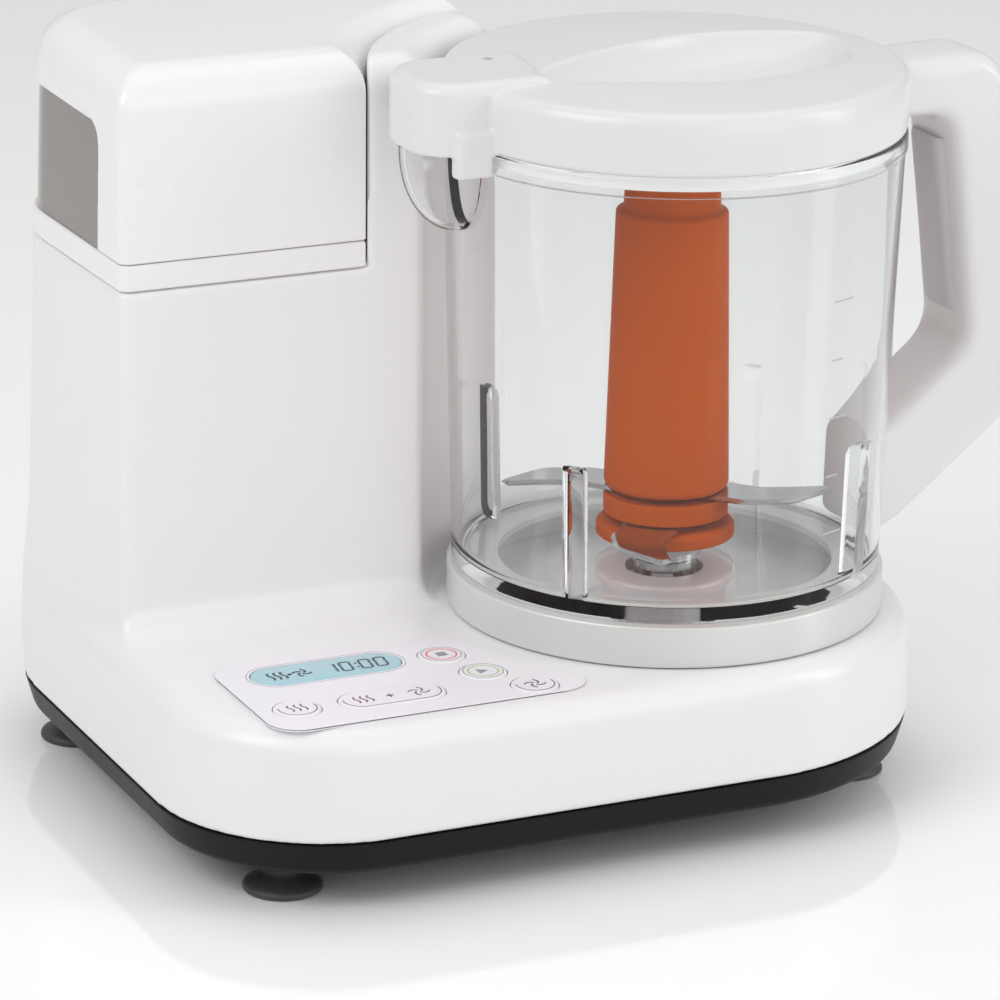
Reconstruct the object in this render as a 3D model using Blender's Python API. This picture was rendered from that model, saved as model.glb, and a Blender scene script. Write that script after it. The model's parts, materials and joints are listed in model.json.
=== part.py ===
"""Steam-and-blend baby food maker: base unit, water tank, bowl, blade unit, lid and keys.

Metres, +Z up. The design frame has X = 0 at the base's left side, Y = 0 at its front
and Z = 0 on the table. One empty moves it so that the origin is under the middle.
"""

import math

import bmesh
import bpy
from mathutils import Vector

# ---------------------------------------------------------------- driving dimensions
BASE_FRONT_LEFT_R = 0.050
BASE_BACK_LEFT_R = 0.053
BASE_BACK_RIGHT_R = 0.048
FOOT_DISC_R = 0.0112
TRAY_BOTTOM_Z = 0.0108
PARTING_Z = 0.0210
DECK_Z = 0.0528
DECK_FILLET = 0.0075
SHELL_WALL = 0.0026
TRAY_TAPER = 0.0048

COLLAR_R = 0.0632
COLLAR_HEIGHT = 0.0120
DECK_MARGIN = 0.0090    # deck left around the bowl's collar
PANEL_ROOM = 0.1028     # from the base's left side to the collar
BACK_ROOM = 0.0686      # from the collar to the base's back
BOWL_FOOT_R = COLLAR_R - 0.0013
BOWL_TOP_R = COLLAR_R + 0.0021
BOWL_WALL = 0.0026
BOWL_FLOOR = 0.0030
BOWL_HEIGHT = 0.1287    # glass from the collar to the top of its rim
RIM_HEIGHT = 0.0054
RIM_R = COLLAR_R + 0.0027
RIB_HEIGHT = 0.040
RIB_WIDTH = 0.0065
RIB_DEPTH = 0.0050
SPOUT_REACH = COLLAR_R + 0.0198
SPOUT_HALF_WIDTH = 0.0130
SPOUT_DROP = 0.0255
SPOUT_OFFSET = 0.0028   # the spout's and the arm's centre line, behind the bowl axis

LID_WALL_HEIGHT = 0.0181
LID_R = RIM_R
ARM_TOP = 0.0204        # above the rim
ARM_FRONT = -0.0155
ARM_BACK = 0.0210
ARM_REACH = COLLAR_R + 0.0203
SCOOP_DEPTH = 0.0080
VENT_X, VENT_Y, VENT_R = 0.0104 - COLLAR_R, 0.0117, 0.0016

TOWER_ABOVE_RIM = 0.0189
TOWER_FLANK_X = 0.0084  # front left edge
SCOOP_R = COLLAR_R + 0.0073     # tower wall that wraps round the bowl
SHROUD_THICKNESS = 0.0163
TANK_BELOW_RIM = 0.0409
SKIRT_HEIGHT = 0.0075
COVER_ABOVE_RIM = 0.0214
COVER_WALL = 0.0024
RESERVOIR_WALL = 0.0020
WINDOW_FRONT_Y = 0.1170
WINDOW_RIGHT_X = 0.0600
WINDOW_ABOVE_RIM = 0.0029
WINDOW_RECESS = 0.0010

HANDLE_THICKNESS = 0.0290
GRIP_WIDTH = 0.0235

MOTOR_X = 0.050
MOTOR_FROM_BACK = 0.053
MOTOR_R = 0.0240
MOTOR_HEIGHT = 0.0600
MOTOR_SHAFT_R = 0.0025
MOTOR_MOUTH_R = 0.0034   # hole in can and bracket for the shaft
BRACKET_HALF = 0.0280
BRACKET_THICKNESS = 0.0025
MOTOR_PULLEY_R = 0.0120
DRIVEN_PULLEY_R = 0.0300
PULLEY_Z = 0.0290
PULLEY_HEIGHT = 0.0100
BELT_THICKNESS = 0.0015
BELT_HEIGHT = 0.0070

COLUMN_FOOT_R = 0.0180
COLUMN_TOP_R = 0.0160
COLUMN_NECK_HEIGHT = 0.0197
COLUMN_BELOW_RIM = 0.0041
NECK_R = 0.0135
BLADE_REACH = COLLAR_R - 0.0152
BLADE_THICKNESS = 0.0016
SPINDLE_R = 0.0052
HUB_R = 0.0105          # bush in the bowl's floor
DRIVE_SHAFT_R = 0.0040
BEARING_R = 0.0110
BEARING_TUBE_R = 0.0140
DRIVE_BOSS_R = 0.0205
DRIVE_BOSS_HEIGHT = 0.0080
DRIVE_WELL_R = 0.0113
COUPLING_R = 0.0095
DOG_TOOTH_IN_R, DOG_TOOTH_OUT_R = 0.0050, 0.0090
DOG_TOOTH = 0.0020
GASKET_WIDTH = 0.0035

PANEL_THICKNESS = 0.0004
KEY_R = 0.0067
KEY_TRAVEL = 0.0008
KEY_PROUD = 0.0004

SEAT = 0.0003           # gap between pieces that rest on or line each other
SLIDE = 0.0005          # gap round a piece that slides or turns
ROUND = 36              # segments of the large turned pieces
SMALL = 12              # segments of the small turned pieces

# ---------------------------------------------------------------- sizes that follow
BASE_RIGHT_R = COLLAR_R + DECK_MARGIN
BOWL_X = PANEL_ROOM + COLLAR_R          # axis of bowl, drive and lid
BOWL_Y = BASE_RIGHT_R - 0.0010
BASE_WIDTH = BOWL_X + BASE_RIGHT_R
BASE_DEPTH = BOWL_Y + COLLAR_R + BACK_ROOM
TOWER_FRONT_Y = BOWL_Y + 0.0258
TOWER_RIGHT_X = BOWL_X - 0.0250
MOTOR_Y = BASE_DEPTH - MOTOR_FROM_BACK
COLLAR_Z = DECK_Z + SEAT
BOWL_Z = COLLAR_Z + COLLAR_HEIGHT + SEAT
RIM_Z = BOWL_Z + BOWL_HEIGHT
FLOOR_TOP_Z = BOWL_Z + 0.0007 + BOWL_FLOOR
LID_Z = RIM_Z + SEAT
LID_TOP_Z = RIM_Z + LID_WALL_HEIGHT
ARM_TOP_Z = RIM_Z + ARM_TOP
TOWER_TOP_Z = RIM_Z + TOWER_ABOVE_RIM
TANK_FLOOR_Z = RIM_Z - TANK_BELOW_RIM   # top of the tower's shelf
COVER_TOP_Z = RIM_Z + COVER_ABOVE_RIM
WINDOW_TOP_Z = RIM_Z + WINDOW_ABOVE_RIM
COLUMN_TOP_Z = RIM_Z - COLUMN_BELOW_RIM
COLUMN_SHOULDER_Z = COLUMN_TOP_Z - COLUMN_NECK_HEIGHT
BOARD_TOP = DECK_Z - SHELL_WALL - 0.0055
DOG_Z = DECK_Z + 0.0085                 # where the two halves of the coupling meet
GASKET_R = BOWL_TOP_R - BOWL_WALL - 0.0004
SHROUD_R = SCOOP_R + SHROUD_THICKNESS
TANK_R = SHROUD_R + SLIDE
SKIRT_Z = TANK_FLOOR_Z + SEAT
SKIRT_TOP_Z = SKIRT_Z + SKIRT_HEIGHT
GRIP_TOP_X = BOWL_X + LID_R + 0.0150
GRIP_FOOT_X = GRIP_TOP_X + 0.0087
HANDLE_RIGHT_X = GRIP_FOOT_X + GRIP_WIDTH
BELT_Z = PULLEY_Z + (PULLEY_HEIGHT - BELT_HEIGHT) / 2

# ---------------------------------------------------------------- colours
PALETTE = {
    "white_plastic": ((0.86, 0.85, 0.86), 0.30, 0.0, 0.0),
    "charcoal_plastic": ((0.022, 0.021, 0.024), 0.45, 0.0, 0.0),
    "grey_rubber": ((0.06, 0.055, 0.05), 0.60, 0.0, 0.0),
    "clear_glass": ((0.93, 0.95, 0.95), 0.05, 0.0, 0.9),
    "smoke_plastic": ((0.30, 0.27, 0.26), 0.10, 0.0, 0.5),
    "silver_plastic": ((0.66, 0.66, 0.67), 0.35, 0.1, 0.0),
    "orange_plastic": ((0.76, 0.17, 0.03), 0.35, 0.0, 0.0),
    "panel_film": ((0.86, 0.83, 0.87), 0.35, 0.0, 0.0),
    "display_blue": ((0.38, 0.62, 0.72), 0.15, 0.0, 0.0),
    "key_film": ((0.84, 0.81, 0.86), 0.40, 0.0, 0.0),
    "steel": ((0.62, 0.62, 0.64), 0.25, 1.0, 0.0),
    "aluminium": ((0.70, 0.71, 0.72), 0.40, 1.0, 0.0),
    "board_green": ((0.03, 0.20, 0.09), 0.50, 0.0, 0.0),
    "black_rubber": ((0.02, 0.02, 0.02), 0.65, 0.0, 0.0),
    "silicone": ((0.75, 0.74, 0.72), 0.50, 0.0, 0.0),
    "grey_plastic": ((0.55, 0.55, 0.57), 0.40, 0.0, 0.0),
    "bronze": ((0.50, 0.35, 0.16), 0.35, 1.0, 0.0),
}
materials = {}


def material(name):
    """The named Principled material, made once."""
    if name not in materials:
        colour, roughness, metallic, transmission = PALETTE[name]
        made = bpy.data.materials.new(name)
        made.use_nodes = True
        shader = made.node_tree.nodes["Principled BSDF"]
        shader.inputs["Base Color"].default_value = (*colour, 1.0)
        shader.inputs["Roughness"].default_value = roughness
        shader.inputs["Metallic"].default_value = metallic
        shader.inputs["Transmission Weight"].default_value = transmission
        materials[name] = made
    return materials[name]


# ---------------------------------------------------------------- outlines
def arc(x, y, radius, start, end, steps):
    """Points along an arc, angles in degrees, both ends included."""
    angles = [math.radians(start + (end - start) * i / steps) for i in range(steps + 1)]
    return [(x + radius * math.cos(a), y + radius * math.sin(a)) for a in angles]


def rounded_box(x0, x1, y0, y1, radius, steps=4):
    """A rectangle with round corners, counter-clockwise."""
    corners = (
        (x1 - radius, y0 + radius, -90),
        (x1 - radius, y1 - radius, 0),
        (x0 + radius, y1 - radius, 90),
        (x0 + radius, y0 + radius, 180),
    )
    return [p for x, y, a in corners for p in arc(x, y, radius, a, a + 90, steps)]


def base_outline(inset=0.0):
    """The base's footprint: its wide front right corner follows the bowl."""
    right, back = BASE_WIDTH - inset, BASE_DEPTH - inset
    front_left, back_left = BASE_FRONT_LEFT_R, BASE_BACK_LEFT_R
    back_right = BASE_BACK_RIGHT_R
    return (
        arc(BOWL_X, BASE_RIGHT_R, BASE_RIGHT_R - inset, -90, 0, 12)
        + arc(right - back_right + inset, back - back_right + inset, back_right - inset, 0, 90, 8)
        + arc(back_left, BASE_DEPTH - back_left, back_left - inset, 90, 180, 9)
        + arc(front_left, front_left, front_left - inset, 180, 270, 9)
    )


def tower_sides(z, inset):
    """Left, flank, back, front, right and back-left corner: the tower leans in as it rises."""
    rise = (z - DECK_Z) / (TANK_FLOOR_Z - DECK_Z)
    left = 0.0025 + 0.0060 * rise + inset
    flank = TOWER_FLANK_X + 0.0010 * rise + inset
    back = BASE_DEPTH - 0.0008 - 0.0030 * rise - inset
    front = TOWER_FRONT_Y + 0.0015 * rise + inset
    right = TOWER_RIGHT_X - 0.0010 * rise - inset
    corner = BASE_BACK_LEFT_R - 0.003 - 0.012 * rise - inset
    return left, flank, back, front, right, corner


def tower_outline(z, inset=0.0):
    """The tower's section at height z."""
    left, flank, back, front, right, corner = tower_sides(z, inset)
    wrap = SCOOP_R + inset
    dy = front - BOWL_Y
    start = 180 - math.degrees(math.asin(dy / wrap))
    nose = 0.0040
    dx = BOWL_X - (right - nose)
    meet = math.degrees(math.acos(-dx / (wrap + nose)))
    nose_y = BOWL_Y + (wrap + nose) * math.sin(math.radians(meet))
    heel = 0.014
    return (
        arc(BOWL_X, BOWL_Y, wrap, start, meet + 1.0, 10)
        + arc(right - nose, nose_y, nose, meet - 180, 0, 4)
        + arc(right - heel, back - heel, heel, 0, 90, 4)
        + arc(left + corner, back - corner, corner, 90, 180, 8)
        + arc(flank + 0.003, front + 0.003, 0.003, 190, 270, 3)
    )


# ---------------------------------------------------------------- solids
def new_object(name, mesh_data, finish, parent):
    """An object on the scene, parented, with one material and smooth round faces."""
    made = bpy.data.objects.new(name, mesh_data)
    bpy.context.scene.collection.objects.link(made)
    made.data.materials.append(material(finish))
    made.parent = parent
    return made


def mesh_from(bm, name, finish, parent, centre=(0.0, 0.0, 0.0)):
    """A new object from a bmesh in design coordinates, its origin at centre."""
    bmesh.ops.recalc_face_normals(bm, faces=bm.faces)
    bmesh.ops.translate(bm, verts=bm.verts, vec=-Vector(centre))
    data = bpy.data.meshes.new(name)
    bm.to_mesh(data)
    bm.free()
    data.shade_smooth()
    data.set_sharp_from_angle(angle=math.radians(35))
    return new_object(name, data, finish, parent)


def loft(name, rings, finish, parent, centre=(0.0, 0.0, 0.0)):
    """A closed solid through rings of equal length, capped at both ends."""
    bm = bmesh.new()
    loops = [[bm.verts.new(p) for p in ring] for ring in rings]
    count = len(loops[0])
    for low, high in zip(loops, loops[1:]):
        for i in range(count):
            j = (i + 1) % count
            bm.faces.new((low[i], low[j], high[j], high[i]))
    bm.faces.new(loops[0][::-1])
    bm.faces.new(loops[-1])
    bmesh.ops.remove_doubles(bm, verts=bm.verts, dist=0.000005)
    return mesh_from(bm, name, finish, parent, centre)


def prism(name, outline, z0, z1, finish, parent, centre=(0.0, 0.0, 0.0)):
    """An outline extruded from z0 to z1."""
    rings = [[(x, y, z) for x, y in outline] for z in (z0, z1)]
    return loft(name, rings, finish, parent, centre)


def block(name, low, high, finish, parent, centre=(0.0, 0.0, 0.0), axis="Z", radius=0.0):
    """A box between two corners; radius rounds the edges along axis."""
    if not radius:
        outline = [(low[0], low[1]), (high[0], low[1]), (high[0], high[1]), (low[0], high[1])]
        return prism(name, outline, low[2], high[2], finish, parent, centre)
    a, b, c = {"Z": (0, 1, 2), "X": (1, 2, 0), "Y": (2, 0, 1)}[axis]
    outline = rounded_box(low[a], high[a], low[b], high[b], radius)
    rings = []
    for along in (low[c], high[c]):
        ring = []
        for u, v in outline:
            point = [0.0, 0.0, 0.0]
            point[a], point[b], point[c] = u, v, along
            ring.append(tuple(point))
        rings.append(ring)
    return loft(name, rings, finish, parent, centre)


def turned(name, profile, x, y, finish, parent, centre=(0.0, 0.0, 0.0), steps=SMALL, phase=0.0):
    """A profile of (radius, z) points turned about the vertical through x, y."""
    bm = bmesh.new()
    rows = []
    for radius, z in profile:
        if radius == 0:
            rows.append([bm.verts.new((x, y, z))])
        else:
            turn = [phase + 2 * math.pi * i / steps for i in range(steps)]
            rows.append([bm.verts.new((x + radius * math.cos(a), y + radius * math.sin(a),
                                       z)) for a in turn])
    solid = profile[0][0] == 0
    pairs = list(zip(rows, rows[1:]))
    if not solid:
        pairs.append((rows[-1], rows[0]))
    for one, two in pairs:
        for i in range(steps):
            j = (i + 1) % steps
            corners = [one[i % len(one)], one[j % len(one)], two[j % len(two)], two[i % len(two)]]
            unique = []
            for corner in corners:
                if corner not in unique:
                    unique.append(corner)
            if len(unique) > 2:
                bm.faces.new(unique)
    return mesh_from(bm, name, finish, parent, centre)


def rod(name, radius, z0, z1, x, y, finish, parent, centre=(0.0, 0.0, 0.0), steps=SMALL):
    """A plain vertical cylinder."""
    return turned(name, [(0, z0), (radius, z0), (radius, z1), (0, z1)], x, y, finish, parent, centre, steps)


def ring(name, inner, outer, z0, z1, x, y, finish, parent, centre=(0.0, 0.0, 0.0), steps=SMALL):
    """A plain vertical tube."""
    profile = [(outer, z0), (outer, z1), (inner, z1), (inner, z0)]
    return turned(name, profile, x, y, finish, parent, centre, steps)


def boolean(target, other, operation):
    """Apply one exact Boolean and delete the other object."""
    modifier = target.modifiers.new(operation.lower(), "BOOLEAN")
    modifier.operation = operation
    modifier.solver = "EXACT"
    modifier.object = other
    bpy.context.view_layer.update()
    graph = bpy.context.evaluated_depsgraph_get()
    finished = bpy.data.meshes.new_from_object(target.evaluated_get(graph), depsgraph=graph)
    target.modifiers.clear()
    old = target.data
    target.data = finished
    bpy.data.meshes.remove(old)
    bpy.data.objects.remove(other)
    clean = bmesh.new()
    clean.from_mesh(finished)
    bmesh.ops.remove_doubles(clean, verts=clean.verts, dist=0.000002)
    bmesh.ops.dissolve_degenerate(clean, edges=clean.edges, dist=0.000002)
    clean.to_mesh(finished)
    clean.free()
    finished.shade_smooth()
    finished.set_sharp_from_angle(angle=math.radians(35))
    return target


def cut(target, *others):
    for other in others:
        boolean(target, other, "DIFFERENCE")
    return target


def join(target, *others):
    for other in others:
        boolean(target, other, "UNION")
    return target


def shift(outline, inset):
    """An outline moved inwards by inset along its own normals (counter-clockwise outline)."""
    moved = []
    count = len(outline)
    for i in range(count):
        before, here, after = (Vector(outline[(i + k) % count]) for k in (-1, 0, 1))
        one = (here - before).normalized() if (here - before).length > 1e-7 else None
        two = (after - here).normalized() if (after - here).length > 1e-7 else None
        along = ((one or two) + (two or one)).normalized()
        normal = Vector((-along.y, along.x))
        stretch = 1.0 / max(0.5, along.dot(two or one))
        moved.append(tuple(here + normal * inset * stretch))
    return moved


def at_height(outline, z):
    return [(x, y, z) for x, y in outline]


# ---------------------------------------------------------------- frame of the assembly
def empty(name, location, parent=None):
    made = bpy.data.objects.new(name, None)
    bpy.context.scene.collection.objects.link(made)
    made.location = location
    made.parent = parent
    return made


for leftover in list(bpy.data.objects):
    bpy.data.objects.remove(leftover)

frame = empty("assembly_frame", (-HANDLE_RIGHT_X / 2, -BASE_DEPTH / 2, 0.0))
BOWL_AXIS = (BOWL_X, BOWL_Y, 0.0)
MOTOR_AXIS = (MOTOR_X, MOTOR_Y, 0.0)
bowl_axis = empty("bowl_axis", BOWL_AXIS, frame)
motor_axis = empty("motor_axis", MOTOR_AXIS, frame)

# valve, screw and foot places that two pieces share
VALVE_X, VALVE_Y = 0.072, BASE_DEPTH - 0.035
TANK_AXIS = (VALVE_X, VALVE_Y, 0.0)
tank_axis = empty("tank_axis", TANK_AXIS, frame)
NECK_OUTER_R, NECK_BORE_R = 0.0055, 0.0036
VALVE_SEAT_R = 0.0080
SCREWS = {
    "housing_screw_1": (0.0125, 0.080, DECK_Z - 0.0015),
    "housing_screw_2": (BASE_WIDTH - 0.0302, 0.032, DECK_Z - 0.0015),
    "housing_screw_3": (BASE_WIDTH - 0.0262, BASE_DEPTH - 0.053, DECK_Z - 0.0015),
    "housing_screw_4": (0.040, BASE_DEPTH - 0.0078, 0.058),
}
SCREW_R, SCREW_HEAD_R, BOSS_R = 0.0016, 0.0030, 0.0045
FEET = {
    "foot_front_left": (0.029, 0.029),
    "foot_front_right": (BASE_WIDTH - 0.0234, 0.0475),
    "foot_back_left": (0.0175, BASE_DEPTH - 0.042),
    "foot_back_right": (BASE_WIDTH - 0.034, BASE_DEPTH - 0.034),
}
FOOT_STEM_R = 0.0030
KEYS = {
    "key_stop": (0.0848, 0.0478, 0.0),
    "key_start": (0.0900, 0.0310, 0.0),
    "key_blend": (0.0990, 0.0162, 0.0),
    "key_steam": (0.0313, 0.0240, 0.0),
    "key_steam_blend": (0.0590, 0.0231, 0.0177),
}
DISPLAY_X, DISPLAY_Y = 0.0507, 0.0500
DISPLAY_LENGTH, DISPLAY_WIDTH = 0.045, 0.015
NOZZLE_R = 0.0040
NOZZLE_BACK = TOWER_FRONT_Y + 0.008
SHROUD_MID_R = (SCOOP_R + SHROUD_R) / 2
NOZZLE_X = BOWL_X - math.sqrt(SHROUD_MID_R ** 2 - (NOZZLE_BACK - BOWL_Y) ** 2)
NOZZLE_Z = RIM_Z + 0.0105
GLAND_X, GLAND_Z, GLAND_R = 0.075, 0.036, 0.0060
BACK_SLOTS, BACK_SLOT_X, BACK_SLOT_PITCH, BACK_SLOT_WIDTH = 6, 0.096, 0.0055, 0.0025
BACK_SLOT_Z, BACK_SLOT_TOP_Z = 0.075, 0.105
TRAY_SLOTS, TRAY_SLOT_X, TRAY_SLOT_PITCH, TRAY_SLOT_WIDTH = 7, 0.085, 0.008, 0.003
TRAY_SLOT_Y, TRAY_SLOT_LENGTH = 0.120, 0.040
PLUNGER_R = 0.0024
WATER_TUBE_R, STEAM_TUBE_R = 0.0024, 0.0026


def stadium(x, y, straight, radius, steps=5):
    """A slot outline: straight is the distance between the two end centres."""
    return arc(x + straight / 2, y, radius, -90, 90, steps) + arc(x - straight / 2, y, radius, 90, 270,
                                                                  steps)


def tank_void(inset, z0, z1):
    """Everything outside the shroud's outer wall, from z0 up: cuts the tank's bay."""
    radius = SHROUD_R - inset
    outline = arc(BOWL_X, BOWL_Y, radius, 175, 95, 16)[::-1]
    x_last = outline[0][0]
    outline = outline + [(outline[-1][0], -0.02), (-0.05, -0.02), (-0.05, 0.26), (x_last, 0.26)]
    return prism("tank_void", outline, z0, z1, "white_plastic", frame)


# ---------------------------------------------------------------- base unit
def make_housing():
    """The white shell: deck and tower in one moulding, open below."""
    shoulder = DECK_Z - DECK_FILLET
    levels = [(PARTING_Z, 0.0), (shoulder, 0.0006)]
    for step in range(1, 5):
        turn = math.radians(90 * step / 4)
        levels.append((shoulder + DECK_FILLET * math.sin(turn),
                       0.0006 + DECK_FILLET * (1 - math.cos(turn))))
    deck_rings = [at_height(base_outline(inset), z) for z, inset in levels]
    shell = loft("base_housing", deck_rings, "white_plastic", frame)

    tower_levels = [(DECK_Z - 0.026, 0.0), (0.11, 0.0), (TANK_FLOOR_Z, 0.0), (TOWER_TOP_Z - 0.006, 0.0)]
    tower_levels += [(TOWER_TOP_Z - 0.0018, 0.0018), (TOWER_TOP_Z, 0.0060)]
    tower = loft("tower", [at_height(tower_outline(z, i), z) for z, i in tower_levels], "white_plastic",
                 frame)
    cut(tower, tank_void(0.0, TANK_FLOOR_Z, COVER_TOP_Z + 0.02))
    join(shell, tower)

    wall = SHELL_WALL
    deck_in = [(PARTING_Z - 0.003, wall), (shoulder - wall, wall + 0.0006)]
    deck_in.append((DECK_Z - wall, DECK_FILLET * 0.75 + wall))
    cavity = loft("cavity", [at_height(base_outline(i), z) for z, i in deck_in], "white_plastic", frame)
    tower_in = [(PARTING_Z + 0.004, wall), (0.11, wall), (TANK_FLOOR_Z, wall),
                (TOWER_TOP_Z - wall, wall + 0.0015)]
    hollow = loft("hollow", [at_height(tower_outline(z, i), z) for z, i in tower_in], "white_plastic",
                  frame)
    cut(hollow, tank_void(wall, TANK_FLOOR_Z - wall, COVER_TOP_Z + 0.02))
    cut(shell, cavity, hollow)

    boss_low, boss_top = DECK_Z - 0.0015, DECK_Z + DRIVE_BOSS_HEIGHT
    boss = [(0, boss_low), (DRIVE_BOSS_R, boss_low), (DRIVE_BOSS_R, boss_top - 0.0012)]
    boss += [(DRIVE_BOSS_R - 0.0015, boss_top), (0, boss_top)]
    hub = turned("drive_boss", boss, BOWL_X, BOWL_Y, "white_plastic", frame, steps=32)
    tube = rod("bearing_tube", BEARING_TUBE_R, DECK_Z - 0.0128, DECK_Z, BOWL_X, BOWL_Y, "white_plastic",
               frame,
               steps=32)
    join(shell, hub, tube)
    for name, (x, y, top) in SCREWS.items():
        post = rod("post", BOSS_R, PARTING_Z, top, x, y, "white_plastic", frame, steps=12)
        join(shell, post)
    for name, (x, y, top) in SCREWS.items():
        pilot = rod("pilot", SCREW_R + SEAT, PARTING_Z, PARTING_Z + 0.016, x, y, "white_plastic", frame,
                    steps=12)
        cut(shell, pilot)
    cut(shell, rod("well", DRIVE_WELL_R, DECK_Z - 0.02, DECK_Z + 0.02, BOWL_X, BOWL_Y, "white_plastic",
                   frame,
                   steps=32))
    for name, (x, y, straight) in KEYS.items():
        hole = prism("hole", stadium(x, y, straight, KEY_R + SLIDE), DECK_Z - 0.01, DECK_Z + 0.01,
                     "white_plastic", frame)
        cut(shell, hole)
    opening = stadium(DISPLAY_X, DISPLAY_Y, DISPLAY_LENGTH - DISPLAY_WIDTH, DISPLAY_WIDTH / 2)
    cut(shell, prism("hole", opening, DECK_Z - 0.01, DECK_Z + 0.01, "white_plastic", frame))
    cut(shell, rod("hole", VALVE_SEAT_R + 0.0004, TANK_FLOOR_Z - 0.01, TANK_FLOOR_Z + 0.01, VALVE_X,
                   VALVE_Y,
                   "white_plastic", frame))
    for x, z, radius, y0, y1 in (
        (NOZZLE_X, NOZZLE_Z, NOZZLE_R + SEAT, TOWER_FRONT_Y - 0.01, TOWER_FRONT_Y + 0.008),
        (GLAND_X, GLAND_Z, GLAND_R + SEAT, BASE_DEPTH - 0.012, BASE_DEPTH + 0.01),
    ):
        cut(shell, across("hole", radius, y0, y1, x, z))
    for index in range(BACK_SLOTS):
        slot_x = BACK_SLOT_X + BACK_SLOT_PITCH * index
        low = (slot_x, BASE_DEPTH - 0.012, BACK_SLOT_Z)
        high = (slot_x + BACK_SLOT_WIDTH, BASE_DEPTH + 0.01, BACK_SLOT_TOP_Z)
        cut(shell, block("slot", low, high, "white_plastic", frame))
    return shell


def across(name, radius, y0, y1, x, z, finish="white_plastic", parent=None, centre=(0.0, 0.0, 0.0),
           inner=0.0):
    """A cylinder or tube lying along Y."""
    steps = 12
    turn = [2 * math.pi * i / steps for i in range(steps)]
    bm = bmesh.new()
    rows = []
    sections = [(radius, y0), (radius, y1)]
    if inner:
        sections += [(inner, y1), (inner, y0)]
    for r, y in sections:
        rows.append([bm.verts.new((x + r * math.cos(a), y, z + r * math.sin(a))) for a in turn])
    pairs = list(zip(rows, rows[1:]))
    if inner:
        pairs.append((rows[-1], rows[0]))
    else:
        bm.faces.new(rows[0])
        bm.faces.new(rows[-1])
    for one, two in pairs:
        for i in range(steps):
            j = (i + 1) % steps
            bm.faces.new((one[i], one[j], two[j], two[i]))
    return mesh_from(bm, name, finish, parent or frame, centre)


def make_tray():
    """The charcoal tray below the parting line, with holes for screws, feet and air."""
    top = PARTING_Z - SEAT
    outer = [(TRAY_BOTTOM_Z, TRAY_TAPER), (TRAY_BOTTOM_Z + 0.0012, TRAY_TAPER - 0.0022), (top, 0.0003)]
    tray = loft("bottom_tray", [at_height(base_outline(i), z) for z, i in outer], "charcoal_plastic", frame)
    wall = SHELL_WALL
    inner = [(TRAY_BOTTOM_Z + wall, TRAY_TAPER + wall), (PARTING_Z + 0.005, wall)]
    cut(tray, loft("inside", [at_height(base_outline(i), z) for z, i in inner], "charcoal_plastic", frame))
    for name, (x, y, height) in SCREWS.items():
        post = rod("post", BOSS_R, TRAY_BOTTOM_Z + 0.001, PARTING_Z - SEAT, x, y, "charcoal_plastic",
                   frame, steps=12)
        join(tray, post)
    for name, (x, y, height) in SCREWS.items():
        cut(tray, rod("hole", SCREW_R + SEAT, TRAY_BOTTOM_Z - 0.01, PARTING_Z + 0.01, x, y,
                      "charcoal_plastic", frame,
                      steps=12))
        cut(tray, rod("sink", SCREW_HEAD_R + SEAT, TRAY_BOTTOM_Z - 0.01, TRAY_BOTTOM_Z + 0.0060, x, y,
                      "charcoal_plastic", frame, steps=12))
    for x, y in FEET.values():
        cut(tray, rod("hole", FOOT_STEM_R + SLIDE, TRAY_BOTTOM_Z - 0.01, TRAY_BOTTOM_Z + 0.01, x, y,
                      "charcoal_plastic",
                      frame, steps=12))
    for index in range(TRAY_SLOTS):
        x = TRAY_SLOT_X + TRAY_SLOT_PITCH * index
        low = (x, TRAY_SLOT_Y, TRAY_BOTTOM_Z - 0.01)
        high = (x + TRAY_SLOT_WIDTH, TRAY_SLOT_Y + TRAY_SLOT_LENGTH, TRAY_BOTTOM_Z + 0.006)
        cut(tray, block("slot", low, high, "charcoal_plastic", frame))
    return tray


def make_foot(name, x, y):
    """A rubber suction foot with its stem through the tray."""
    under = TRAY_BOTTOM_Z - SEAT
    stem = FOOT_STEM_R
    profile = [
        (0, 0.0014), (0.0060, 0.0011), (0.0082, 0.0), (FOOT_DISC_R - 0.0004, 0.0), (FOOT_DISC_R, 0.0004),
        (FOOT_DISC_R - 0.0006, 0.0022),
        (0.0062, 0.0040), (0.0049, 0.0056), (0.0049, under - 0.0016), (0.0060, under), (stem, under),
        (stem, TRAY_BOTTOM_Z + SHELL_WALL + 0.0004), (0.0044, TRAY_BOTTOM_Z + SHELL_WALL + 0.0006),
        (0.0022, TRAY_BOTTOM_Z + SHELL_WALL + 0.0032), (0, TRAY_BOTTOM_Z + SHELL_WALL + 0.0032),
    ]
    return turned(name, profile, x, y, "grey_rubber", frame)


def make_screw(name, x, y, z_head, length, parent, centre=(0.0, 0.0, 0.0)):
    """A pan-head screw pointing up, its head's underside at z_head."""
    profile = [
        (0, z_head - 0.0012), (0.0009, z_head - 0.0022), (0.0022, z_head - 0.0022),
        (SCREW_HEAD_R, z_head - 0.0010),
        (SCREW_HEAD_R, z_head), (SCREW_R, z_head), (SCREW_R, z_head + length - 0.001), (0, z_head + length),
    ]
    return turned(name, profile, x, y, "steel", parent, centre, steps=12)


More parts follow.
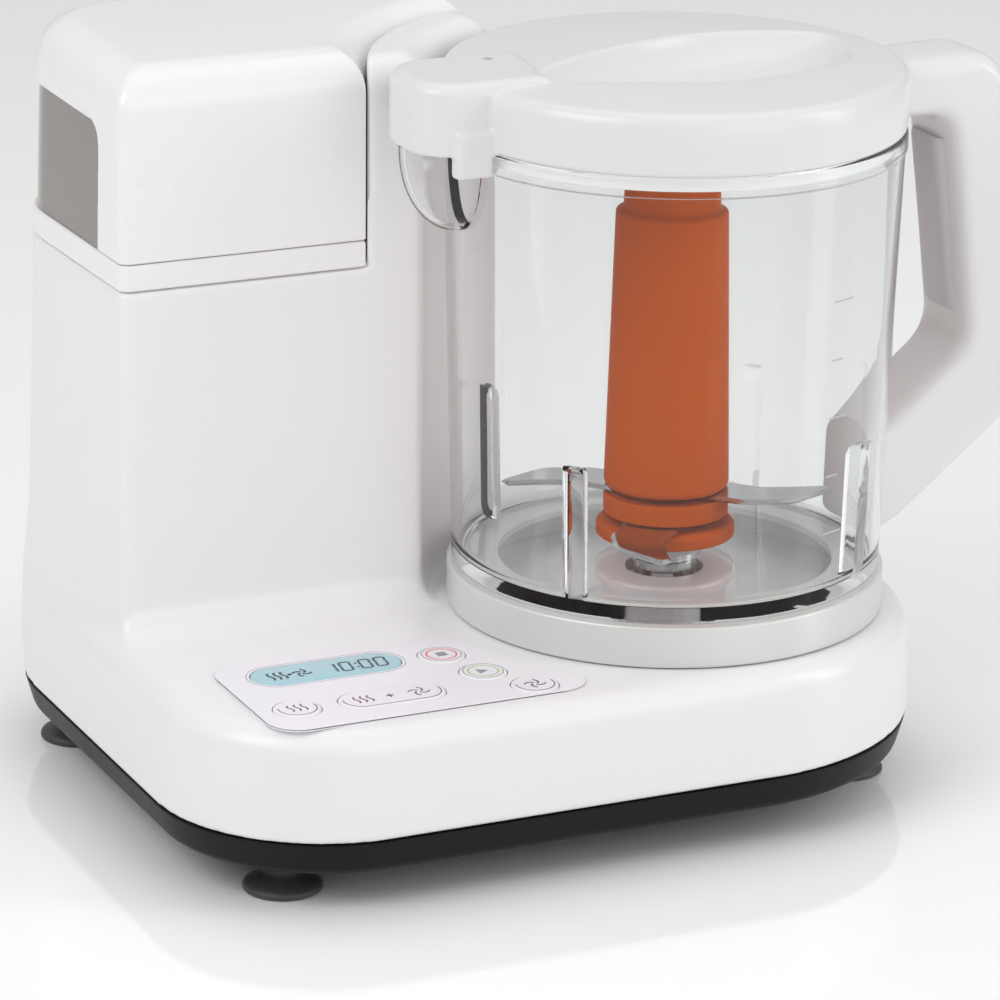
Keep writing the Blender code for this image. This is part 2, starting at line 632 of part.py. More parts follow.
def panel_outline():
    """The printed film: a rounded rectangle whose right side follows the bowl."""
    wrap = COLLAR_R + 0.0080
    low, high, left = 0.0078, 0.0638, 0.0190
    corner, tip = 0.0095, 0.0060
    bottom = 180 + math.degrees(math.asin((BOWL_Y - low - corner) / (wrap + corner)))
    top = 180 + math.degrees(math.asin((BOWL_Y - high + tip) / (wrap + tip)))
    right_low = BOWL_X + (wrap + corner) * math.cos(math.radians(bottom))
    right_high = BOWL_X + (wrap + tip) * math.cos(math.radians(top))
    return (
        arc(left + corner, low + corner, corner, 180, 270, 5)
        + arc(right_low, low + corner, corner, -90, bottom - 180, 6)
        + arc(BOWL_X, BOWL_Y, wrap, bottom - 0.5, top + 0.5, 8)
        + arc(right_high, high - tip, tip, top - 180, 90, 4)
        + arc(left + corner, high - corner, corner, 90, 180, 5)
    )


def make_panel():
    z0 = DECK_Z + SEAT
    film = prism("panel_overlay", panel_outline(), z0, z0 + PANEL_THICKNESS, "panel_film", frame)
    for x, y, straight in KEYS.values():
        cut(film, prism("hole", stadium(x, y, straight, KEY_R + SEAT), z0 - 0.01, z0 + 0.01,
                        "panel_film", frame))
    hole = stadium(DISPLAY_X, DISPLAY_Y, DISPLAY_LENGTH - DISPLAY_WIDTH, DISPLAY_WIDTH / 2)
    cut(film, prism("hole", hole, z0 - 0.01, z0 + 0.01, "panel_film", frame))
    return film


def make_display():
    """The lens, flush in the film, and the display block below it."""
    straight = DISPLAY_LENGTH - DISPLAY_WIDTH
    lens = stadium(DISPLAY_X, DISPLAY_Y, straight, DISPLAY_WIDTH / 2 - SEAT)
    prism("display_lens", lens, DECK_Z - 0.0010, DECK_Z + SEAT + PANEL_THICKNESS, "display_blue", frame)
    half = (straight + DISPLAY_WIDTH) / 2 + 0.002
    low = (DISPLAY_X - half, DISPLAY_Y - 0.009, DECK_Z - SHELL_WALL - 0.0045)
    high = (DISPLAY_X + half, DISPLAY_Y + 0.009, DECK_Z - SHELL_WALL - SEAT)
    block("display_module", low, high, "display_blue", frame)


def make_key(name, x, y, straight):
    """A key cap with its plunger; it slides down on the switch below."""
    top = DECK_Z + SEAT + PANEL_THICKNESS + KEY_PROUD
    pivot = (x, y, top)
    axis = empty(name + "_axis", pivot, frame)
    outer = stadium(x, y, straight, KEY_R)
    inner = stadium(x, y, straight, KEY_R - 0.0005)
    under = DECK_Z - 0.0015
    rings = [at_height(outer, under), at_height(outer, top - 0.0004), at_height(inner, top)]
    cap = loft(name, rings, "key_film", axis, pivot)
    plunger = rod("plunger", PLUNGER_R, BOARD_TOP + KEY_TRAVEL + SEAT, under + 0.001, x, y, "key_film",
                  axis, pivot, 12)
    join(cap, plunger)


def make_electronics():
    low = (0.0240, 0.0175, BOARD_TOP - 0.0016)
    block("control_board", low, (0.1060, 0.0620, BOARD_TOP), "board_green", frame)


def make_belt():
    """A flat belt round both pulleys, open strands tangent to them."""
    length = math.hypot(BOWL_X - MOTOR_X, BOWL_Y - MOTOR_Y)
    heading = math.degrees(math.atan2(BOWL_Y - MOTOR_Y, BOWL_X - MOTOR_X))
    lean = math.degrees(math.acos((DRIVEN_PULLEY_R - MOTOR_PULLEY_R) / length))

    def outline(extra):
        big = arc(BOWL_X, BOWL_Y, DRIVEN_PULLEY_R + extra, heading - 180 + lean, heading + 180 - lean, 24)
        small = arc(MOTOR_X, MOTOR_Y, MOTOR_PULLEY_R + extra, heading + 180 - lean, heading + 180 + lean,
                    14)
        return big + small

    belt = prism("drive_belt", outline(SEAT + BELT_THICKNESS), BELT_Z, BELT_Z + BELT_HEIGHT,
                 "black_rubber", frame)
    cut(belt, prism("inside", outline(SEAT), BELT_Z - 0.01, BELT_Z + BELT_HEIGHT + 0.01, "black_rubber",
                    frame))


def make_motor():
    """Motor can and bracket in the tower, rotor with its pulley below."""
    can_z = PULLEY_Z + PULLEY_HEIGHT + 0.0140
    profile = [
        (MOTOR_R - 0.002, can_z), (MOTOR_R, can_z + 0.002), (MOTOR_R, can_z + MOTOR_HEIGHT - 0.002),
        (MOTOR_R - 0.002, can_z + MOTOR_HEIGHT), (MOTOR_MOUTH_R, can_z + MOTOR_HEIGHT),
        (MOTOR_MOUTH_R, can_z),
    ]
    turned("motor_can", profile, MOTOR_X, MOTOR_Y, "steel", frame, steps=24)
    plate_z = can_z - SEAT - BRACKET_THICKNESS
    low = (MOTOR_X - BRACKET_HALF, MOTOR_Y - BRACKET_HALF, plate_z)
    high = (MOTOR_X + BRACKET_HALF, MOTOR_Y + BRACKET_HALF, plate_z + BRACKET_THICKNESS)
    bracket = block("motor_bracket", low, high, "aluminium", frame, radius=0.006)
    cut(bracket, rod("hole", MOTOR_MOUTH_R, plate_z - 0.01, plate_z + 0.01, MOTOR_X, MOTOR_Y,
                     "aluminium", frame))
    rod("motor_shaft", MOTOR_SHAFT_R, PULLEY_Z - 0.0015, can_z + MOTOR_HEIGHT + 0.004, MOTOR_X, MOTOR_Y,
        "steel",
        motor_axis, MOTOR_AXIS, 16)
    make_pulley("motor_pulley", MOTOR_PULLEY_R, MOTOR_SHAFT_R + SEAT, MOTOR_X, MOTOR_Y, motor_axis,
                MOTOR_AXIS)


def make_pulley(name, radius, bore, x, y, parent, centre):
    """A crowned pulley with a groove for the belt and three lightening holes when large."""
    z0, z1 = PULLEY_Z, PULLEY_Z + PULLEY_HEIGHT
    profile = [
        (radius + 0.0012, z0), (radius + 0.0012, z0 + 0.0009), (radius, z0 + 0.0011), (radius, z1 - 0.0011),
        (radius + 0.0012, z1 - 0.0009), (radius + 0.0012, z1), (bore, z1), (bore, z0),
    ]
    wheel = turned(name, profile, x, y, "grey_plastic", parent, centre, steps=24)
    if radius > 0.02:
        for index in range(3):
            angle = math.radians(30 + 120 * index)
            hole = rod("hole", 0.006, z0 - 0.01, z1 + 0.01, x + 0.018 * math.cos(angle),
                       y + 0.018 * math.sin(angle),
                       "grey_plastic", parent, centre, 16)
            cut(wheel, hole)
    return wheel


def sector(name, inner, outer, start, end, z0, z1, parent):
    """One dog tooth: a ring sector about the bowl axis."""
    outline = arc(BOWL_X, BOWL_Y, outer, start, end, 4) + arc(BOWL_X, BOWL_Y, inner, end, start, 4)
    return prism(name, outline, z0, z1, "grey_plastic", parent, BOWL_AXIS)


def make_drive():
    """Bearing, shaft, driven pulley and the lower half of the dog coupling."""
    ring("spindle_bearing", DRIVE_SHAFT_R + SEAT, BEARING_R, DECK_Z - 0.0118, DECK_Z - 0.0040, BOWL_X,
         BOWL_Y, "bronze",
         frame, steps=24)
    rod("drive_shaft", DRIVE_SHAFT_R, PULLEY_Z - 0.0015, DOG_Z - DOG_TOOTH - 0.0026, BOWL_X, BOWL_Y,
        "steel",
        bowl_axis, BOWL_AXIS, 14)
    make_pulley("driven_pulley", DRIVEN_PULLEY_R, DRIVE_SHAFT_R + SEAT, BOWL_X, BOWL_Y, bowl_axis,
                BOWL_AXIS)
    bore, low = DRIVE_SHAFT_R + SEAT, DOG_Z - 0.0108
    face = DOG_Z - DOG_TOOTH - SEAT
    profile = [(0, face - 0.0020), (bore, face - 0.0020), (bore, low), (COUPLING_R, low),
               (COUPLING_R, face), (0, face)]
    half = turned("drive_coupling", profile, BOWL_X, BOWL_Y, "grey_plastic", bowl_axis, BOWL_AXIS, 24)
    for index in range(3):
        start = 120 * index - 20
        join(half, sector("tooth", DOG_TOOTH_IN_R, DOG_TOOTH_OUT_R, start, start + 40, face - 0.0005,
                          DOG_Z - SEAT, bowl_axis))


def tube_along(name, points, radius, finish):
    """A solid hose on a smooth curve through points."""
    data = bpy.data.curves.new(name, "CURVE")
    data.dimensions = "3D"
    spline = data.splines.new("NURBS")
    spline.points.add(len(points) - 1)
    for knot, (x, y, z) in zip(spline.points, points):
        knot.co = (x, y, z, 1.0)
    spline.use_endpoint_u = True
    spline.order_u = 4
    data.resolution_u = 4
    data.render_resolution_u = 0
    data.bevel_depth = radius
    data.bevel_resolution = 1
    data.use_fill_caps = True
    return new_object(name, data, finish, frame)


def make_steam_parts():
    """Boiler, hoses, nozzle and gasket, and the seat under the tank's valve."""
    low, high = (0.084, BASE_DEPTH - 0.053, 0.060), (0.130, BASE_DEPTH - 0.021, 0.098)
    boiler = block("boiler", low, high, "aluminium", frame, radius=0.006)
    for index in range(4):
        x = low[0] + 0.0075 + 0.0095 * index
        cut(boiler, block("groove", (x, low[1] - 0.01, high[2] - 0.006),
                          (x + 0.003, high[1] + 0.01, high[2] + 0.01),
                          "aluminium", frame))
    cup = [
        (0.0030, TANK_FLOOR_Z - 0.0180), (0.0055, TANK_FLOOR_Z - 0.0180), (0.0055, TANK_FLOOR_Z - 0.0140),
        (VALVE_SEAT_R + 0.0018, TANK_FLOOR_Z - 0.0120), (VALVE_SEAT_R + 0.0018,
                                                         TANK_FLOOR_Z - SHELL_WALL - SEAT),
        (VALVE_SEAT_R, TANK_FLOOR_Z - SHELL_WALL - SEAT), (VALVE_SEAT_R, TANK_FLOOR_Z - 0.0100),
        (0.0030, TANK_FLOOR_Z - 0.0118),
    ]
    turned("valve_seat", cup, VALVE_X, VALVE_Y, "grey_plastic", frame)
    top = TANK_FLOOR_Z - 0.0183
    tube_along("water_tube", [
        (VALVE_X, VALVE_Y, top), (VALVE_X, VALVE_Y, top - 0.012), (VALVE_X + 0.006, VALVE_Y, top - 0.022),
        (low[0] + 0.012, VALVE_Y, high[2] + 0.014), (low[0] + 0.014, VALVE_Y - 0.002, high[2] + 0.006),
        (low[0] + 0.014, VALVE_Y - 0.002, high[2] + 0.0004)], WATER_TUBE_R, "silicone")
    route = [(high[0] - 0.009, low[1] + 0.014, high[2] + 0.0004),
             (high[0] - 0.009, low[1] + 0.012, high[2] + 0.012)]
    for angle, z in ((122, 0.125), (122, 0.150), (124, 0.178), (130, NOZZLE_Z - 0.002), (142, NOZZLE_Z),
                     (150, NOZZLE_Z)):
        turn = math.radians(angle)
        route.append((BOWL_X + SHROUD_MID_R * math.cos(turn), BOWL_Y + SHROUD_MID_R * math.sin(turn), z))
    route += [(NOZZLE_X, NOZZLE_BACK + 0.0045, NOZZLE_Z), (NOZZLE_X, NOZZLE_BACK + 0.0005, NOZZLE_Z)]
    tube_along("steam_tube", route, STEAM_TUBE_R, "silicone")
    front = BOWL_Y + ARM_BACK + SLIDE
    across("steam_nozzle", NOZZLE_R, front + 0.0016, NOZZLE_BACK, NOZZLE_X, NOZZLE_Z, "grey_plastic", frame,
           inner=0.0020)
    across("nozzle_gasket", NOZZLE_R + 0.0006, front, front + 0.0013, NOZZLE_X, NOZZLE_Z, "silicone", frame,
           inner=0.0026)
    across("cord_gland", GLAND_R, BASE_DEPTH - 0.0085, BASE_DEPTH - 0.0004, GLAND_X, GLAND_Z,
           "black_rubber", frame,
           inner=0.0034)


# ---------------------------------------------------------------- bowl
def bowl_outer_r(z):
    """Outer radius of the clear wall at height z."""
    return BOWL_FOOT_R + (BOWL_TOP_R - BOWL_FOOT_R) * (z - BOWL_Z) / (RIM_Z - RIM_HEIGHT - BOWL_Z)


def spout_rings(shrink, reach_in):
    """Sections of the half-dome spout; reach_in is how far it runs inside the wall."""
    rings = []
    centre_y = BOWL_Y + SPOUT_OFFSET
    for step in range(0, 9):
        part = 1 - step / 8
        depth = (SPOUT_DROP - shrink) * part
        size = math.sqrt(max(0.0, 1 - part ** 2.2)) if step else 0.10
        half = (SPOUT_HALF_WIDTH - shrink) * max(size, 0.10)
        reach = BOWL_TOP_R + (SPOUT_REACH - shrink - BOWL_TOP_R) * max(size, 0.06)
        ring_points = []
        for turn in range(13):
            angle = math.pi / 2 + math.pi * turn / 12
            x = BOWL_X - BOWL_TOP_R + 0.0030 + (reach - BOWL_TOP_R + 0.0030) * math.cos(angle)
            y = centre_y + half * math.sin(angle)
            ring_points.append((x, y, RIM_Z - depth))
        inner_x = BOWL_X - BOWL_TOP_R + 0.0030 + reach_in
        ring_points += [(inner_x, centre_y - half, RIM_Z - depth),
                        (inner_x, centre_y + half, RIM_Z - depth)]
        rings.append(ring_points)
    return rings


def make_bowl():
    """The clear bowl with its spout and its four inner ribs, and the collar below it."""
    rim_low = RIM_Z - RIM_HEIGHT
    outer = [(0, BOWL_Z), (BOWL_FOOT_R, BOWL_Z), (BOWL_TOP_R, rim_low), (RIM_R, rim_low), (RIM_R, RIM_Z),
             (0, RIM_Z)]
    bowl = turned("bowl_shell", outer, BOWL_X, BOWL_Y, "clear_glass", bowl_axis, BOWL_AXIS, ROUND)
    join(bowl, loft("spout", spout_rings(0.0, 0.004), "clear_glass", bowl_axis, BOWL_AXIS))
    inside = [
        (0, FLOOR_TOP_Z), (BOWL_FOOT_R - BOWL_WALL - 0.003, FLOOR_TOP_Z),
        (BOWL_FOOT_R - BOWL_WALL, FLOOR_TOP_Z + 0.003),
        (BOWL_TOP_R - BOWL_WALL, rim_low), (BOWL_TOP_R - BOWL_WALL, RIM_Z + 0.01), (0, RIM_Z + 0.01),
    ]
    cut(bowl, turned("inside", inside, BOWL_X, BOWL_Y, "clear_glass", bowl_axis, BOWL_AXIS, ROUND))
    mouth = spout_rings(0.0018, 0.010)
    mouth.append([(x, y, RIM_Z + 0.01) for x, y, z in mouth[-1]])
    cut(bowl, loft("mouth", mouth, "clear_glass", bowl_axis, BOWL_AXIS))
    for angle in (38, 128, 218, 308):
        turn = math.radians(angle)
        along, side = Vector((math.cos(turn), math.sin(turn))), Vector((-math.sin(turn), math.cos(turn)))
        rings = []
        for z, depth in ((FLOOR_TOP_Z - 0.001, RIB_DEPTH), (FLOOR_TOP_Z + RIB_HEIGHT - 0.003, RIB_DEPTH),
                         (FLOOR_TOP_Z + RIB_HEIGHT, RIB_DEPTH - 0.003)):
            skin = bowl_outer_r(z) - BOWL_WALL / 2
            corners = ((skin, -1), (skin, 1), (skin - BOWL_WALL / 2 - depth, 0.7),
                       (skin - BOWL_WALL / 2 - depth, -0.7))
            middle = Vector((BOWL_X, BOWL_Y))
            points = [middle + along * r + side * (RIB_WIDTH / 2 * s) for r, s in corners]
            rings.append([(p.x, p.y, z) for p in points])
        join(bowl, loft("rib", rings, "clear_glass", bowl_axis, BOWL_AXIS))
    cut(bowl, rod("hole", HUB_R + SEAT, BOWL_Z - 0.01, FLOOR_TOP_Z + 0.01, BOWL_X, BOWL_Y, "clear_glass",
                  bowl_axis,
                  BOWL_AXIS, 24))
    collar = [
        (COLLAR_R - 0.0008, COLLAR_Z), (COLLAR_R, COLLAR_Z + 0.0008), (COLLAR_R, BOWL_Z - SEAT - 0.0006),
        (COLLAR_R - 0.0008, BOWL_Z - SEAT), (COLLAR_R - 0.0150, BOWL_Z - SEAT),
        (COLLAR_R - 0.0150, BOWL_Z - 0.0025),
        (COLLAR_R - 0.0028, BOWL_Z - 0.0032), (COLLAR_R - 0.0028, COLLAR_Z),
    ]
    turned("bowl_collar", collar, BOWL_X, BOWL_Y, "silver_plastic", bowl_axis, BOWL_AXIS, ROUND)
    ring("hub_bush", SPINDLE_R + SLIDE, HUB_R, BOWL_Z - 0.0006, FLOOR_TOP_Z + 0.0018, BOWL_X, BOWL_Y,
         "grey_plastic",
         bowl_axis, BOWL_AXIS, 24)
    seal_z = FLOOR_TOP_Z + 0.0018 + SEAT
    ring("hub_seal", SPINDLE_R + SEAT, HUB_R - 0.0015, seal_z, seal_z + 0.0014, BOWL_X, BOWL_Y,
         "black_rubber",
         bowl_axis, BOWL_AXIS, 24)


def make_handle():
    """C-shaped handle on the bowl's right, cut to the bowl's surface, with a grip strip inside."""
    x0 = BOWL_X + COLLAR_R - 0.006
    top_z, under_z = RIM_Z + 0.0140, RIM_Z - 0.0030
    knee_z = BOWL_Z + 0.0570
    side = (
        [(x0, under_z), (GRIP_TOP_X - 0.003, under_z), (GRIP_TOP_X + 0.0006, under_z - 0.0035)]
        + [(GRIP_FOOT_X, knee_z + 0.005), (GRIP_FOOT_X - 0.003, knee_z - 0.001), (x0, BOWL_Z + 0.0300)]
        + [(x0, BOWL_Z + 0.0012), (BOWL_X + COLLAR_R + 0.005, BOWL_Z + 0.0035),
           (GRIP_FOOT_X + 0.010, BOWL_Z + 0.0210)]
        + [(HANDLE_RIGHT_X - 0.006, BOWL_Z + 0.0340), (HANDLE_RIGHT_X - 0.0010, BOWL_Z + 0.0430)]
        + [(HANDLE_RIGHT_X, BOWL_Z + 0.0530), (HANDLE_RIGHT_X - 0.0070, RIM_Z - 0.0020)]
        + [(HANDLE_RIGHT_X - 0.0110, RIM_Z + 0.0080), (HANDLE_RIGHT_X - 0.0200, RIM_Z + 0.0140),
           (x0, top_z)]
    )
    half = HANDLE_THICKNESS / 2
    rings = []
    for y, inset in ((-half, 0.004), (-half + 0.0012, 0.0012), (-half + 0.004, 0.0), (half - 0.004, 0.0),
                     (half - 0.0012, 0.0012), (half, 0.004)):
        rings.append([(x, BOWL_Y + y, z) for x, z in shift(side, inset)])
    handle = loft("handle_outer", rings, "white_plastic", bowl_axis, BOWL_AXIS)
    gap = SEAT
    rim_low = RIM_Z - RIM_HEIGHT
    clear = [
        (0, COLLAR_Z - 0.01), (COLLAR_R + gap, COLLAR_Z - 0.01), (COLLAR_R + gap, BOWL_Z),
        (BOWL_FOOT_R + gap, BOWL_Z), (BOWL_TOP_R + gap, rim_low - gap), (RIM_R + gap, rim_low - gap),
        (RIM_R + gap, RIM_Z), (LID_R + 0.0014, RIM_Z), (LID_R + 0.0014, ARM_TOP_Z + 0.02),
        (0, ARM_TOP_Z + 0.02),
    ]
    cut(handle, turned("clearance", clear, BOWL_X, BOWL_Y, "white_plastic", bowl_axis, BOWL_AXIS, ROUND))
    foot, head = (GRIP_FOOT_X, knee_z + 0.005), (GRIP_TOP_X + 0.0006, under_z - 0.0035)
    lean = (foot[0] - head[0]) / (head[1] - foot[1])
    strip = [(foot[0] - lean * (z - foot[1]), z) for z in (foot[1] + 0.004, head[1] - 0.004)]
    (low_x, low_z), (high_x, high_z) = strip
    thick = 0.0022
    outline = [(low_x - thick, low_z), (high_x - thick, high_z), (high_x + 0.003, high_z),
               (low_x + 0.003, low_z)]
    pocket = [(low_x - 0.02, low_z - gap), (high_x - 0.02, high_z + gap), (high_x + 0.0033, high_z + gap),
              (low_x + 0.0033, low_z - gap)]
    reach = half - 0.006
    rings = [[(x, BOWL_Y + y, z) for x, z in outline] for y in (-reach, reach)]
    loft("handle_inner", rings, "grey_plastic", bowl_axis, BOWL_AXIS)
    rings = [[(x, BOWL_Y + y, z) for x, z in pocket] for y in (-reach - gap, reach + gap)]
    cut(handle, loft("pocket", rings, "white_plastic", bowl_axis, BOWL_AXIS))


def make_blades():
    """Spindle with the upper half of the dog coupling, hub, two blades, spacer and the orange column."""
    dogs = [(0, DOG_Z), (0.0092, DOG_Z), (0.0092, DOG_Z + 0.0023), (SPINDLE_R, DOG_Z + 0.0027)]
    top = COLUMN_SHOULDER_Z - 0.012
    spindle = turned("blade_spindle", dogs + [(SPINDLE_R, top - 0.002), (SPINDLE_R - 0.0015, top),
                                              (0, top)], BOWL_X,
                     BOWL_Y, "steel", bowl_axis, BOWL_AXIS)
    for index in range(3):
        start = 120 * index + 40
        join(spindle, sector("tooth", DOG_TOOTH_IN_R, DOG_TOOTH_OUT_R, start, start + 40,
                             DOG_Z - DOG_TOOTH, DOG_Z + 0.0005, bowl_axis))
    bore = SPINDLE_R + SEAT
    hub_z = FLOOR_TOP_Z + 0.0044
    hub = [
        (bore, hub_z), (COLUMN_FOOT_R + 0.002, hub_z), (COLUMN_FOOT_R + 0.002, hub_z + 0.0035),
        (COLUMN_FOOT_R, hub_z + 0.0045), (bore, hub_z + 0.0045),
    ]
    turned("blade_hub", hub, BOWL_X, BOWL_Y, "orange_plastic", bowl_axis, BOWL_AXIS, 32)
    low_z = hub_z + 0.0045 + SEAT
    make_blade("blade_lower", low_z, 20, bore)
    spacer_z = low_z + BLADE_THICKNESS + SEAT
    ring("blade_spacer", bore, COLUMN_FOOT_R, spacer_z, spacer_z + 0.006, BOWL_X, BOWL_Y,
         "orange_plastic", bowl_axis,
         BOWL_AXIS, 32)
    high_z = spacer_z + 0.006 + SEAT
    make_blade("blade_upper", high_z, 110, bore)
    foot = high_z + BLADE_THICKNESS + SEAT
    profile = [
        (0, top + SEAT), (bore, top + SEAT), (bore, foot), (COLUMN_FOOT_R, foot),
        (COLUMN_TOP_R, COLUMN_SHOULDER_Z),
        (NECK_R, COLUMN_SHOULDER_Z + 0.0006), (NECK_R - 0.0004, COLUMN_TOP_Z - 0.001),
        (NECK_R - 0.0014, COLUMN_TOP_Z), (0, COLUMN_TOP_Z),
    ]
    turned("blade_column", profile, BOWL_X, BOWL_Y, "orange_plastic", bowl_axis, BOWL_AXIS, 32)


def make_blade(name, z, heading, bore):
    """Two swept cutting edges on one flat hub plate."""
    plate, reach = COLUMN_FOOT_R - 0.0015, BLADE_REACH
    outline = []
    for half in (0, 180):
        for radius, angle in (
            (plate, 0), (reach * 0.56, -8), (reach * 0.81, -22), (reach, -42), (reach - 0.0020, -46),
            (reach * 0.77, -44), (reach * 0.56, -42), (plate + 0.0010, -58), (plate, -90), (plate, -120),
        ):
            turn = math.radians(heading + half - angle)
            outline.append((BOWL_X + radius * math.cos(turn), BOWL_Y + radius * math.sin(turn)))
    blade = prism(name, outline, z, z + BLADE_THICKNESS, "steel", bowl_axis, BOWL_AXIS)
    cut(blade, rod("hole", bore, z - 0.01, z + 0.01, BOWL_X, BOWL_Y, "steel", bowl_axis, BOWL_AXIS))


# ---------------------------------------------------------------- lid
def recess_outline():
    """Finger recess in front of the lid's bar, seen from above: shares of the lid's radius."""
    bar = [(0.850, 0.182), (0.607, 0.288), (0.303, 0.326), (0.0, 0.281), (-0.334, 0.159), (-0.607, 0.015)]
    front = [(-0.728, -0.114), (-0.653, -0.228), (-0.425, -0.349), (-0.030, -0.501), (0.395, -0.455),
             (0.728, -0.258)]
    return [(BOWL_X + x * LID_R, BOWL_Y + y * LID_R) for x, y in bar + front]


def make_lid():
    """Lid with its arm over the spout, a finger recess, and a gasket in a groove."""
    bead = 0.0008
    profile = [
        (0, LID_Z), (LID_R, LID_Z), (LID_R + bead, LID_TOP_Z - 0.0025), (LID_R, LID_TOP_Z - 0.0008),
        (LID_R - 0.0020, LID_TOP_Z), (LID_R * 0.6, ARM_TOP_Z - 0.0012), (0, ARM_TOP_Z - 0.0006),
    ]
    lid = turned("lid_shell", profile, BOWL_X, BOWL_Y, "white_plastic", bowl_axis, BOWL_AXIS, ROUND)
    tip = BOWL_X - ARM_REACH
    front, back = BOWL_Y + ARM_FRONT, BOWL_Y + ARM_BACK
    arm_plan = (
        arc(tip + 0.012, front + 0.012, 0.012, 180, 270, 5)
        + [(BOWL_X - 0.045, front), (BOWL_X - 0.040, back)]
        + arc(tip + 0.014, back - 0.014, 0.014, 90, 180, 5)
    )
    rings = [at_height(arm_plan, LID_Z), at_height(arm_plan, ARM_TOP_Z - 0.0015),
             at_height(shift(arm_plan, 0.0015), ARM_TOP_Z)]
    join(lid, loft("arm", rings, "white_plastic", bowl_axis, BOWL_AXIS))
    lug = block("lug", (BOWL_X - 0.0745, BOWL_Y - 0.0175, LID_Z - 0.0060),
                (BOWL_X - 0.0600, BOWL_Y + ARM_FRONT + 0.0042, LID_Z + 0.0070), "white_plastic",
                bowl_axis, BOWL_AXIS)
    gap = SLIDE
    rim_low = RIM_Z - RIM_HEIGHT
    clear = [(0, rim_low - 0.02), (RIM_R + gap, rim_low - 0.02), (RIM_R + gap, LID_Z - 0.00005),
             (0, LID_Z - 0.00005)]
    cut(lug, turned("clear", clear, BOWL_X, BOWL_Y, "white_plastic", bowl_axis, BOWL_AXIS, ROUND))
    join(lid, lug)
    cavity = [(0, LID_Z - 0.01), (LID_R - 0.0115, LID_Z - 0.01), (LID_R - 0.0115, LID_Z + 0.0060),
              (0, LID_Z + 0.0060)]
    cut(lid, turned("cavity", cavity, BOWL_X, BOWL_Y, "white_plastic", bowl_axis, BOWL_AXIS, ROUND))
    channel = [(-ARM_REACH + 0.0060, ARM_FRONT + 0.0080), (-0.052, ARM_FRONT + 0.0080),
               (-0.052, ARM_BACK - 0.0040),
               (-ARM_REACH + 0.0120, ARM_BACK - 0.0040), (-ARM_REACH + 0.0060, ARM_BACK - 0.0120)]
    channel = [(BOWL_X + x, BOWL_Y + y) for x, y in channel]
    cut(lid, prism("channel", channel, LID_Z - 0.01, ARM_TOP_Z - 0.0028, "white_plastic", bowl_axis,
                   BOWL_AXIS))
    inner, outer = GASKET_R - GASKET_WIDTH - SEAT, GASKET_R + SEAT
    groove_top = LID_Z + 0.0026
    cut(lid, ring("groove", inner, outer, LID_Z - 0.01, groove_top, BOWL_X, BOWL_Y, "white_plastic",
                  bowl_axis,
                  BOWL_AXIS, ROUND))
    ring("lid_gasket", GASKET_R - GASKET_WIDTH, GASKET_R, RIM_Z - 0.0040, groove_top - SEAT, BOWL_X, BOWL_Y,
         "silicone", bowl_axis, BOWL_AXIS, ROUND)
    floor = LID_TOP_Z - SCOOP_DEPTH
    rim = recess_outline()
    middle = Vector((BOWL_X + 0.09 * LID_R, BOWL_Y - 0.06 * LID_R))
    rings = []
    for z, scale in ((floor, 0.40), (floor + 0.0022, 0.72), (floor + 0.0052, 0.90),
                     (ARM_TOP_Z + 0.002, 1.02)):
        rings.append([(middle.x + (x - middle.x) * scale, middle.y + (y - middle.y) * scale, z) for x,
                      y in rim])
    cut(lid, loft("recess", rings, "white_plastic", bowl_axis, BOWL_AXIS))
    cut(lid, rod("vent", VENT_R, LID_Z, ARM_TOP_Z + 0.01, BOWL_X + VENT_X, BOWL_Y + VENT_Y,
                 "white_plastic", bowl_axis,
                 BOWL_AXIS, 12))
    cut(lid, across("inlet", 0.0030, BOWL_Y + ARM_BACK - 0.008, BOWL_Y + ARM_BACK + 0.01, NOZZLE_X,
                    NOZZLE_Z,
                    parent=bowl_axis, centre=BOWL_AXIS))
    cover_z = LID_Z + 0.0030
    plan = [(-ARM_REACH + 0.0065, ARM_FRONT + 0.0080 + SEAT), (-0.058, ARM_FRONT + 0.0080 + SEAT),
            (-0.058, ARM_BACK - 0.0040 - SEAT), (-ARM_REACH + 0.0122, ARM_BACK - 0.0040 - SEAT),
            (-ARM_REACH + 0.0065, ARM_BACK - 0.0123)]
    plan = [(BOWL_X + x, BOWL_Y + y) for x, y in plan]
    cover = prism("lid_duct_cover", plan, cover_z, cover_z + 0.0020, "white_plastic", bowl_axis, BOWL_AXIS)
    cut(cover, rod("hole", 0.004, cover_z - 0.01, cover_z + 0.01, BOWL_X - 0.0700, BOWL_Y + SPOUT_OFFSET,
                   "white_plastic", bowl_axis, BOWL_AXIS, 16))


# ---------------------------------------------------------------- water tank
def tank_outline(z, inset=0.0):
    """The tank's section: the tower's outline outside the shroud."""
    left, flank, back, front, right, corner = tower_sides(z, inset)
    radius = TANK_R + inset
    start = 180 - math.degrees(math.asin((front - BOWL_Y) / radius))
    end = math.degrees(math.acos((right - BOWL_X) / radius))
    heel = 0.014
    return (
        arc(BOWL_X, BOWL_Y, radius, start, end, 12)
        + arc(right - heel, back - heel, heel, 0, 90, 4)
        + arc(left + corner, back - corner, corner, 90, 180, 8)
        + arc(flank + 0.003, front + 0.003, 0.003, 190, 270, 3)
    )


def tank_loft(name, levels, finish):
    """A solid through the tank's section at each (height, inset)."""
    return loft(name, [at_height(tank_outline(z, inset), z) for z, inset in levels], finish, tank_axis,
                TANK_AXIS)


